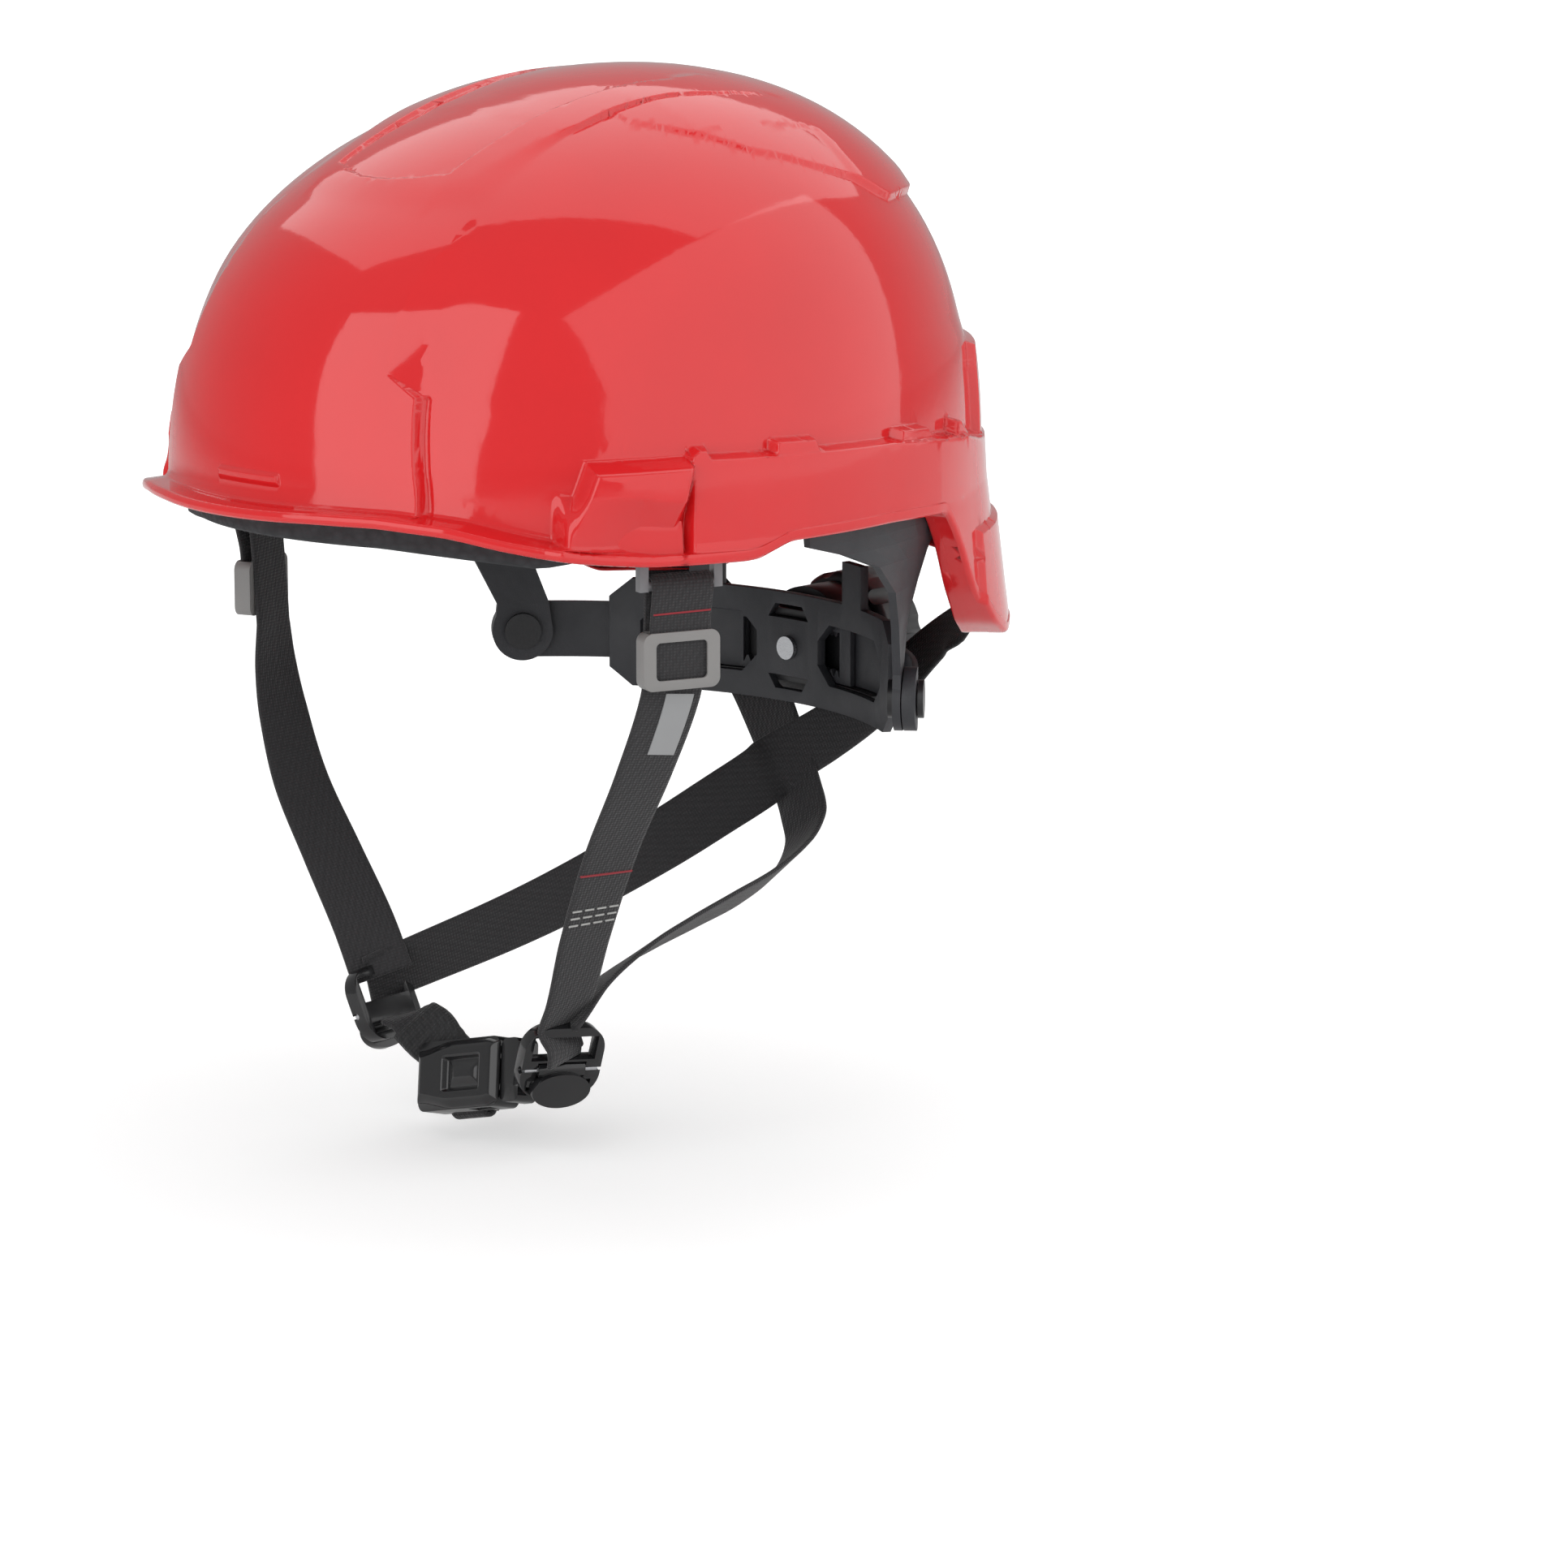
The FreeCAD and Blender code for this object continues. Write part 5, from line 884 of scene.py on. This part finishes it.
def smooth_line(points, widths, step=STEP):
    """Points, tangents and width directions every step millimetres along a smooth line."""
    p, w = np.array(points, float), np.array(widths, float)
    gaps = np.linalg.norm(np.diff(p, axis=0), axis=1)
    slope = np.zeros_like(p)
    slope[1:-1] = (p[2:] - p[:-2]) / (gaps[1:] + gaps[:-1])[:, None]
    slope[0], slope[-1] = (p[1] - p[0]) / gaps[0], (p[-1] - p[-2]) / gaps[-1]
    places, sides = [], []
    for i, gap in enumerate(gaps):
        t = np.linspace(0, 1, max(2, math.ceil(gap / step)), endpoint=False)[:, None]
        places.append((2 * t ** 3 - 3 * t ** 2 + 1) * p[i] + (t ** 3 - 2 * t ** 2 + t) * gap * slope[i]
                      + (3 * t ** 2 - 2 * t ** 3) * p[i + 1] + (t ** 3 - t ** 2) * gap * slope[i + 1])
        sides.append(w[i] * (1 - t) + w[i + 1] * t)
    place, side = np.concatenate(places + [p[-1:]]), np.concatenate(sides + [w[-1:]])
    tangent = np.gradient(place, axis=0)
    tangent /= np.linalg.norm(tangent, axis=1, keepdims=True)
    side -= tangent * np.einsum("ij,ij->i", side, tangent)[:, None]
    side /= np.linalg.norm(side, axis=1, keepdims=True)
    return place, tangent, side


def flat_section(width, thick):
    """Rounded flat outline as (across, up) pairs, starting at the middle of the top."""
    radius = thick / 2
    run = width / 2 - radius
    bend = np.linspace(0, math.pi, EDGE_STEPS)
    pairs = [(x, radius) for x in np.linspace(0, run, ACROSS_STEPS)[:-1]]
    pairs += [(run + radius * math.sin(a), radius * math.cos(a)) for a in bend]
    pairs += [(x, -radius) for x in np.linspace(run, -run, 2 * ACROSS_STEPS - 1)[1:-1]]
    pairs += [(-run - radius * math.sin(a), -radius * math.cos(a)) for a in bend]
    pairs += [(x, radius) for x in np.linspace(-run, 0, ACROSS_STEPS)[1:-1]]
    return np.array(pairs)


def swept_strap(name, line, width, thick, finish, shape=None):
    """Sweep the flat section; shape(share) may scale its width and thickness along the line."""
    place, tangent, side = line
    up = np.cross(tangent, side)
    section = flat_section(width, thick)
    count, rings = len(section), len(place)
    length = np.concatenate([[0], np.cumsum(np.linalg.norm(np.diff(place, axis=0), axis=1))])
    scale = np.ones((rings, 2)) if shape is None else np.array([shape(s) for s in length / length[-1]])
    points = (place[:, None] + side[:, None] * (section[None, :, :1] * scale[:, None, :1])
              + up[:, None] * (section[None, :, 1:] * scale[:, None, 1:])).reshape(-1, 3)
    faces = []
    for ring in range(rings - 1):
        for k in range(count):
            a, b = ring * count + k, ring * count + (k + 1) % count
            faces.append((a, b, b + count, a + count))
    faces += [tuple(range(count))[::-1], tuple((rings - 1) * count + k for k in range(count))]
    strap = mesh_object(name, points, faces, finish)
    around = np.concatenate([[0], np.cumsum(np.linalg.norm(np.diff(section, axis=0), axis=1))])
    total = around[-1] + np.linalg.norm(section[0] - section[-1])
    layer = strap.data.uv_layers.new(name="weave")
    for polygon in strap.data.polygons:
        for loop, vertex in zip(polygon.loop_indices, polygon.vertices):
            ring, k = divmod(vertex, count)
            u = total if k == 0 and any(v % count == count - 1 for v in polygon.vertices) else around[k]
            layer.data[loop].uv = (u * MM, length[ring] * MM)
    return strap


HANGER_LOOP = [(94.8, -50.1, -45.0), (94.8, -50.1, -37.0), (95.4, -50.3, -25.0), (97.2, -51.1, -15.5),
               (97.1, -51.0, -12.7), (96.1, -50.7, -11.7), (94.9, -50.2, -11.3), (93.6, -49.8, -11.7),
               (92.7, -49.5, -12.7), (92.2, -49.3, -15.5), (91.4, -49.0, -25.0), (90.6, -48.7, -37.0),
               (89.6, -48.8, -48.8)]
MIRROR = np.array([-1.0, 1.0, 1.0])
FRONT_LEFT = (HANGER_LOOP + [(78.5, -49.2, -74.2), (63.5, -48.2, -100.8), (50.7, -47.2, -129.7),
                             (43.2, -46.5, -150.5), (37.9, -45.9, -159.5), (37.6, -45.7, -163.2),
                             (40.0, -46.0, -167.0), (39.6, -46.0, -170.6)],
              [(0.34, 0.94, 0)] * 13 + [(0.26, 0.97, 0), (0.18, 0.98, 0), (0.09, 1, 0), (0, 1, 0),
                                        (-0.1, 1, 0), (-0.2, .97, 0), (-0.29, .95, 0), (-0.29, .95, 0)])
FRONT_RIGHT = ([tuple(MIRROR * p) for p in HANGER_LOOP]
               + [(-88.6, -49.0, -61.8), (-85.6, -48.8, -77.0), (-78.3, -48.1, -98.8), (-64.8, -47.3, -120.5),
                  (-51.5, -46.5, -141.2), (-43.3, -45.9, -157.5)],
               [(-0.34, 0.94, 0)] * 13 + [(-0.19, 0.98, 0.03), (-0.02, 1, 0.06), (0.16, 0.98, 0.09),
                                          (0.34, 0.93, 0.11), (0.5, 0.85, 0.14), (0.63, 0.76, 0.15)])
REAR_LEFT = ([(67.7, 106.8, -34), (66.7, 107.3, -48), (57.9, 108.4, -54.1), (49.1, 108.8, -60.8),
              (38.9, 108, -70), (26.9, 104.5, -81.3), (13, 97.3, -92.7), (0, 89.5, -102.5),
              (-1.3, 82.5, -106.6), (-6.4, 69.8, -113.8), (-14.3, 48.9, -124.9), (-23.6, 21.5, -137),
              (-31.6, -1.9, -145.7), (-41.3, -29.2, -154.3), (-49.3, -46.9, -160.4)],
             [(-.73, .69, 0), (-.74, .66, .14), (-.74, .6, .29), (-.72, .53, .45), (-.68, .43, .6),
              (-.61, .33, .72), (-.53, .22, .82), (-.45, .12, .88), (-.35, .09, .93), (-.24, .06, .97),
              (-.12, .03, .99), (.01, -.01, 1), (.13, -.04, .99), (.25, -.07, .97), (.35, -.1, .93)])
REAR_RIGHT = ([(-67.7, 106.8, -34), (-66.7, 107.3, -48), (-57.9, 109.1, -54.1), (-49.1, 110.2, -60.8),
               (-38.9, 110.2, -70), (-26.9, 107.4, -81.3), (-13, 101.2, -92.7), (0, 94.5, -102.5),
               (10.8, 89.2, -112.9), (16.9, 85, -120.8), (20.9, 74.7, -128.1), (25.5, 54.2, -133.8),
               (29.8, 30.6, -137), (32.4, 9.2, -140.4), (33.7, -10.5, -145), (34.4, -29.5, -152.7),
               (35.6, -44, -162.6)],
              [(.73, .69, 0), (.75, .65, .12), (.76, .6, .24), (.76, .54, .37), (.74, .46, .5),
               (.7, .37, .61), (.65, .29, .7), (.6, .2, .77), (.63, .21, .75), (.66, .22, .72),
               (.68, .22, .7), (.71, .23, .67), (.73, .23, .64), (.76, .24, .61), (.78, .25, .58),
               (.8, .25, .55), (.82, .26, .51)])
WEBBING_WIDTH, WEBBING_THICK = 20.0, 1.5
STRAPS = {"front_strap_left": FRONT_LEFT, "front_strap_right": FRONT_RIGHT,
          "rear_strap_left": REAR_LEFT, "rear_strap_right": REAR_RIGHT}
strap_lines = {}
for node, (route, widths) in STRAPS.items():
    strap_lines[node] = smooth_line(route, widths)
    webbing = swept_strap(node + "_webbing", strap_lines[node], WEBBING_WIDTH, WEBBING_THICK, strap_weave)
    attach(webbing, "shell_and_harness")
    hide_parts(node)
    compare(webbing, node)

# %% Chin strap and its ribbed sleeve
CHIN = ([(-37.2, -45.1, -170.5), (-30.5, -44.5, -170.2), (-19.5, -42.0, -177.5), (-9.6, -37.2, -188.4),
         (-6.7, -38.5, -195.9), (-6.4, -39.3, -197.1), (-6.2, -40.8, -197.6), (-6.3, -42.3, -197.2),
         (-6.6, -43.2, -196), (-7, -43.3, -194.5), (-8.6, -41.4, -188)],
        [(.17, -.99, .02), (-.38, -.86, -.3), (-.85, -.35, -.3)] + [(-.97, 0, -.24)] * 8)
CHIN_WIDTH, CHIN_THICK, SLEEVE_WIDTH, SLEEVE_THICK, SLEEVE_RIBS = 16.0, 1.6, 18.5, 5.0, 9


def ribbed(share):
    """Width and thickness of the sleeve: gathered elastic stands out in ribs and closes at both ends."""
    rib = 0.86 + 0.14 * abs(math.sin(SLEEVE_RIBS * math.pi * share))
    mouth = min(1.0, 0.55 + 6 * min(share, 1 - share))
    return 0.97 + 0.03 * rib, rib * mouth


chin_line = smooth_line(*CHIN)
chin = swept_strap("chin_webbing", chin_line, CHIN_WIDTH, CHIN_THICK, strap_weave)
first_step, last_step = (int(np.linalg.norm(chin_line[0] - np.array(CHIN[0][k]), axis=1).argmin())
                         for k in (1, 3))
fine = smooth_line(chin_line[0][first_step:last_step + 1], chin_line[2][first_step:last_step + 1], 0.35)
sleeve = swept_strap("elastic_sleeve", fine, SLEEVE_WIDTH, SLEEVE_THICK, elastic_weave, ribbed)
for piece, node, slot in ((chin, "chin_strap", "webbing"), (sleeve, "strap_sleeve", "elastic")):
    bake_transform(piece)
    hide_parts(node)
    compare(piece, node)

# %% [markdown]
# ### Stitching and tag
# Webbing is sewn where it folds back, and the thread stands slightly above the weave. Two red lines
# of thread cross the near strap, and three broken rows of white stitches lie below them. The tag is a
# small blank strip. Each is a thin patch that follows its strap and is sunk a little into it.

# %% Thread, stitches and the blank tag
PATCH_LONG, PATCH_WIDE, PATCH_SUNK = 9, 5, 0.2


def on_strap(line, start, end, low, high, lift):
    """Grid of points on a strap's outer face between two lengths along it and two places across it."""
    place, tangent, side = line
    length = np.concatenate([[0], np.cumsum(np.linalg.norm(np.diff(place, axis=0), axis=1))])
    along = np.linspace(start, end, PATCH_LONG)
    spot, flow, wide = (np.stack([np.interp(along, length, v[:, k]) for k in range(3)], -1)
                        for v in (place, tangent, side))
    up = np.cross(flow, wide)
    up /= np.linalg.norm(up, axis=1, keepdims=True)
    face = np.sign((up @ np.array([1.0, -1.0, 0.0])))[:, None] * up
    across = np.linspace(low, high, PATCH_WIDE)
    grid = spot[:, None] + wide[:, None] * across[None, :, None] + face[:, None] * lift
    return grid.reshape(-1, 3), len(along)


def patch_on_strap(name, line, span, across, thick, finish, replaced=None):
    """A thin closed patch: its top stands thick above the strap and its foot is sunk into the weave."""
    top, rows = on_strap(line, *span, *across, lift=WEBBING_THICK / 2 + thick)
    foot, _ = on_strap(line, *span, *across, lift=WEBBING_THICK / 2 - PATCH_SUNK)
    count, faces, w = len(top), [], PATCH_WIDE
    for row in range(rows - 1):
        for k in range(w - 1):
            a = row * w + k
            faces += [(a, a + 1, a + w + 1, a + w),
                      (count + a, count + a + w, count + a + w + 1, count + a + 1)]
        a, b = row * w, row * w + w - 1
        faces += [(a, a + w, count + a + w, count + a), (b, count + b, count + b + w, b + w)]
    for start in (0, (rows - 1) * w):
        for k in range(w - 1):
            a = start + k
            faces.append((a, count + a, count + a + 1, a + 1))
    patch = mesh_object(name, np.concatenate([top, foot]), faces, finish)
    face_out(patch)
    patch.data.set_sharp_from_angle(angle=math.radians(38))
    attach(patch, "shell_and_harness")
    if replaced:
        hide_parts(replaced)
    return patch


NEAR = strap_lines["front_strap_left"]
TAG_SPAN, TAG_ACROSS = (73.5, 94.5), (-2.0, 7.2)
THREAD_PROUD, FIRST_ROW, ROW_GAP = 0.3, 153.0, 2.6
FIRST_DASH, DASH_PITCH, DASH_LONG, DASH_WIDE = -8.8, 4.7, 3.4, 0.5
patch_on_strap("blank_tag", NEAR, TAG_SPAN, TAG_ACROSS, 0.35, tag_film, "strap_tag")
for name, span, reach in (("upper", (22.6, 23.1), 9.3), ("lower", (140.0, 140.6), 9.6)):
    patch_on_strap("red_thread_" + name, NEAR, span, (-reach, reach), THREAD_PROUD, thread_red)
for row in range(3):
    place = FIRST_ROW + ROW_GAP * row
    for dash in range(4):
        start = FIRST_DASH + dash * DASH_PITCH
        patch_on_strap(f"white_stitch_{row}_{dash}", NEAR, (place, place + DASH_WIDE),
                       (start, start + DASH_LONG), THREAD_PROUD, thread_white)
print("tag, two red threads and twelve stitches")

# %% [markdown]
# ## Moulded fittings
# Buckles, sliders, racks and the knob are injection moulded, so no edge on them is truly sharp. Their
# exact shape is already in the CAD model. A copy of that mesh gets its flat faces joined again, then a
# small bevel on its outside edges, and keeps the CAD shape everywhere else.

# %% Copy a fitting and soften its edges
def both(name):
    return [name + "_left", name + "_right"]


# nodes, finish, material slot and bevel in millimetres
FITTINGS = [
    (both("strap_slider"), slider_grey, "buckle_black", 0.35),
    (both("front_hanger"), hanger_grey, "trim_black", 0.3),
    (["buckle_plug"], buckle_polished, "buckle_black", 0.35),
    (["buckle_socket"], buckle_polished, "buckle_black", 0.4),
    (["strap_divider_right"], buckle_polished, "buckle_black", 0.35),
    (both("divider_lever"), buckle_polished, "buckle_black", 0.25),
    (["plug_arm_front", "plug_arm_rear"], buckle_polished, "buckle_black", 0.2),
    (both("band_rack"), band_grained, "band_black", 0.25),
    (["nape_cradle"], band_grained, "band_black", 0.3),
    (["ratchet_housing"], trim_satin, "trim_black", 0.4),
    (["ratchet_knob"], trim_satin, "trim_black", 0.3),
    (["knob_accent"], accent_gloss, "accent_red", 0.15),
]
BEVEL_ABOVE, SHARP_ABOVE, FLAT_WITHIN = (math.radians(a) for a in (32, 38, 0.8))


def fitting(node, finish, slot, bevel):
    mesh = frame["nodes"][node].data.copy()
    mesh.name = node + "_moulded"
    made = bpy.data.objects.new(node + "_moulded", mesh)
    scene.collection.objects.link(made)
    work = bmesh.new()
    work.from_mesh(mesh)
    bmesh.ops.remove_doubles(work, verts=work.verts, dist=2e-6)
    bmesh.ops.dissolve_limit(work, angle_limit=FLAT_WITHIN, verts=work.verts, edges=work.edges)
    edges = [e for e in work.edges if e.is_manifold and e.calc_face_angle(0) > BEVEL_ABOVE]
    bmesh.ops.bevel(work, geom=edges, offset=bevel * MM, segments=2, profile=0.6, affect="EDGES",
                    clamp_overlap=True)
    work.to_mesh(mesh)
    work.free()
    mesh.materials.clear()
    mesh.materials.append(finish)
    mesh.shade_smooth()
    mesh.set_sharp_from_angle(angle=SHARP_ABOVE)
    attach(made, frame["nodes"][node]["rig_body"])
    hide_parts(node)
    return made


for nodes, finish, slot, bevel in FITTINGS:
    for node in nodes:
        made = fitting(node, finish, slot, bevel)
        print(made.name, len(made.data.polygons), "faces")

# %% [markdown]
# ### Face of the buckle
# The front of a side-release socket is not flat. It rises from its edges in a soft round-over,
# tapers towards the strap, and has a sunk window where the latch shows. A plate with that relief is
# laid on the flat face of the CAD socket and moves with it.

# %% Sculpted face of the buckle socket
SOCKET_SUNK = 0.8
SOCKET_ALONG, SOCKET_OUT = Vector((-0.971, 0.0, -0.2397)), Vector((-0.0683, -0.9587, 0.2763))


def socket_face():
    """A raised face plate with a sunk release window, laid on the flat outer face of the socket."""
    along, out = np.array(SOCKET_ALONG.normalized()), np.array(SOCKET_OUT.normalized())
    wide = np.cross(out, along)
    points = np.array([v.co for v in frame["nodes"]["buckle_socket"].data.vertices]) / MM
    a, w, n = points @ along, points @ wide, points @ out
    flat = n > n.max() - 0.3
    start, stop, low, high, top = a[flat].min(), a[flat].max(), w[flat].min(), w[flat].max(), n.max()
    print("socket face in mm:", round(float(stop - start), 1), "x", round(float(high - low), 1))
    long, across_steps = 73, 49
    u, v = np.meshgrid(np.linspace(0, 1, long), np.linspace(-1, 1, across_steps))
    u, v = u.ravel(), v.ravel()
    length, half = stop - start, (high - low) / 2
    taper = 0.97 - 0.22 * ease((u - 0.55) / 0.45) - 0.10 * ease((0.16 - u) / 0.16)
    place, across = u * length, v * half * taper
    edge = np.minimum(np.minimum(place, length - place), (1 - np.abs(v)) * half * taper)
    rise = 1.9 * np.clip(1 - (1 - np.clip(edge / 3.2, 0, 1)) ** 2, 0, 1)
    window = np.minimum(np.minimum(place - 0.2 * length, 0.66 * length - place), 5.6 - np.abs(across))
    rise -= 2.0 * ease(window / 1.1) - 0.9 * ease((window - 1.4) / 3.4)
    middle = (low + high) / 2
    foot = (start + place)[:, None] * along + (middle + across)[:, None] * wide
    face = foot + (top + rise)[:, None] * out
    back = foot + (top - SOCKET_SUNK) * out
    count, faces, rows = len(u), [], across_steps - 1
    for row in range(rows):
        for k in range(long - 1):
            i = row * long + k
            faces += [(i, i + 1, i + long + 1, i + long),
                      (count + i, count + i + long, count + i + long + 1, count + i + 1)]
    rim = list(range(long)) + [row * long + long - 1 for row in range(1, across_steps)]
    rim += [rows * long + k for k in range(long - 2, -1, -1)] + [row * long for row in range(rows - 1, 0, -1)]
    for i, j in zip(rim, rim[1:] + rim[:1]):
        faces.append((i, count + i, count + j, j))
    plate = mesh_object("socket_face", np.concatenate([face, back]), faces, buckle_polished)
    face_out(plate)
    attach(plate, "socket")


socket_face()

# %% [markdown]
# The struts are flat arms of soft plastic between the shell and the headband, and they bend when the band
# changes size. Here each strut is a copy of its CAD mesh with the grained finish, baked in place.

# %% Struts that tie the racks to the shell
for side in ("left", "right"):
    node = "band_strut_" + side
    strut = bpy.data.objects.new(node + "_moulded", frame["nodes"][node].data.copy())
    scene.collection.objects.link(strut)
    strut.data.materials.clear()
    strut.data.materials.append(band_grained)
    strut.data.shade_smooth()
    strut.data.set_sharp_from_angle(angle=SHARP_ABOVE)
    low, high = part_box(node)
    middle = (low + high) / 2
    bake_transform(strut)
    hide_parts(node)
    print(node, "bends over 30 mm")

# %% [markdown]
# Small turned and moulded parts, such as pins, rivets and the ratchet's wheel, are already exact in the
# CAD model, so they keep their shape and only get a finish.

# %% Finishes for the pieces that stay as they are
CARRIED = {pin_steel: both("hanger_pin") + both("lever_pin") + ["knob_screw"],
           trim_satin: both("band_rivet") + both("rear_anchor") + ["detent_ring", "knob_pawls",
                                                                   "drive_pinion"]}
for finish, nodes in CARRIED.items():
    for node in nodes:
        data = frame["nodes"][node].data
        data.materials.clear()
        data.materials.append(finish)
    print(finish.name, "on", nodes)

# %% [markdown]
# ## Studio
# A glossy red shell is judged by its reflections. Large soft boxes give broad highlights with
# straight soft edges, and a pale floor close below fills the lower half. The camera has a long lens
# and stands off to the front corner, a little above the rim.

# %% Floor, lamps and camera
FLOOR_DEPTH, FLOOR_RADIUS, FLOOR_SIDES = 0.004, 9.0, 96


def pale_floor():
    low = min(v.co.z for node in frame["nodes"].values() for v in node.data.vertices) - FLOOR_DEPTH
    around = np.linspace(0, FULL_TURN, FLOOR_SIDES + 1)[:-1]
    ring = [(FLOOR_RADIUS * math.cos(a), FLOOR_RADIUS * math.sin(a), low) for a in around]
    material, tree, shader = new_finish("floor_pale", (0.86, 0.86, 0.86), 0.9)
    path = tree.nodes.new("ShaderNodeLightPath")
    reach = tree.nodes.new("ShaderNodeVectorMath")
    reach.operation = "LENGTH"
    tree.links.new(coordinates(tree), reach.inputs[0])
    haze = spread(tree, reach.outputs["Value"], 0.5, 2.2, 0.34, 1.0)
    glow = maths(tree, "MULTIPLY", path.outputs["Is Camera Ray"], haze)
    shader.inputs["Emission Color"].default_value = (1, 1, 1, 1)
    tree.links.new(glow, shader.inputs["Emission Strength"])
    floor = mesh_object("floor", ring, [tuple(range(FLOOR_SIDES))], material, 1.0)
    return floor


def soft_box(name, direction, distance, size, power, aim=(0.0, 0.0, -0.02)):
    lamp = bpy.data.lights.new(name, "AREA")
    lamp.shape, lamp.size, lamp.size_y, lamp.energy = "RECTANGLE", *size, power
    made = bpy.data.objects.new(name, lamp)
    scene.collection.objects.link(made)
    toward = Vector(direction).normalized()
    made.location = Vector(aim) + toward * distance
    made.rotation_euler = (-toward).to_track_quat("-Z", "Y").to_euler()
    return made


def white_surround(strength):
    world = bpy.data.worlds.new("surround")
    scene.world = world
    world.use_nodes = True
    tree = world.node_tree
    back = tree.nodes["Background"]
    path = tree.nodes.new("ShaderNodeLightPath")
    seen = maths(tree, "MULTIPLY", path.outputs["Is Camera Ray"], 1.0 - strength)
    level = maths(tree, "ADD", seen, strength)
    back.inputs["Color"].default_value = (1, 1, 1, 1)
    tree.links.new(level, back.inputs["Strength"])


def bearing(azimuth, elevation):
    """Unit direction from an azimuth round +Z, measured from +X, and an elevation, in degrees."""
    a, e = math.radians(azimuth), math.radians(elevation)
    return math.cos(a) * math.cos(e), math.sin(a) * math.cos(e), math.sin(e)


pale_floor()
white_surround(0.4)
soft_box("front_box", bearing(-78, 20), 1.9, (2.0, 2.3), 23.0)
soft_box("side_box", bearing(26, 22), 1.9, (3.6, 2.6), 26.0)
soft_box("crown_box", bearing(130, 62), 2.1, (3.2, 2.4), 21.0)

camera_data = bpy.data.cameras.new("camera")
camera = bpy.data.objects.new("camera", camera_data)
scene.collection.objects.link(camera)
camera_data.lens, camera_data.sensor_width = 139.4, 36.0
camera.location = (1.34993, -1.30361, 0.29722)
target = Vector((0.05502, 0.03566, -0.09350))
camera.rotation_euler = (target - camera.location).to_track_quat("-Z", "Y").to_euler()
scene.camera = camera
scene.view_settings.view_transform = "Standard"
print("camera", [round(c, 3) for c in camera.location])
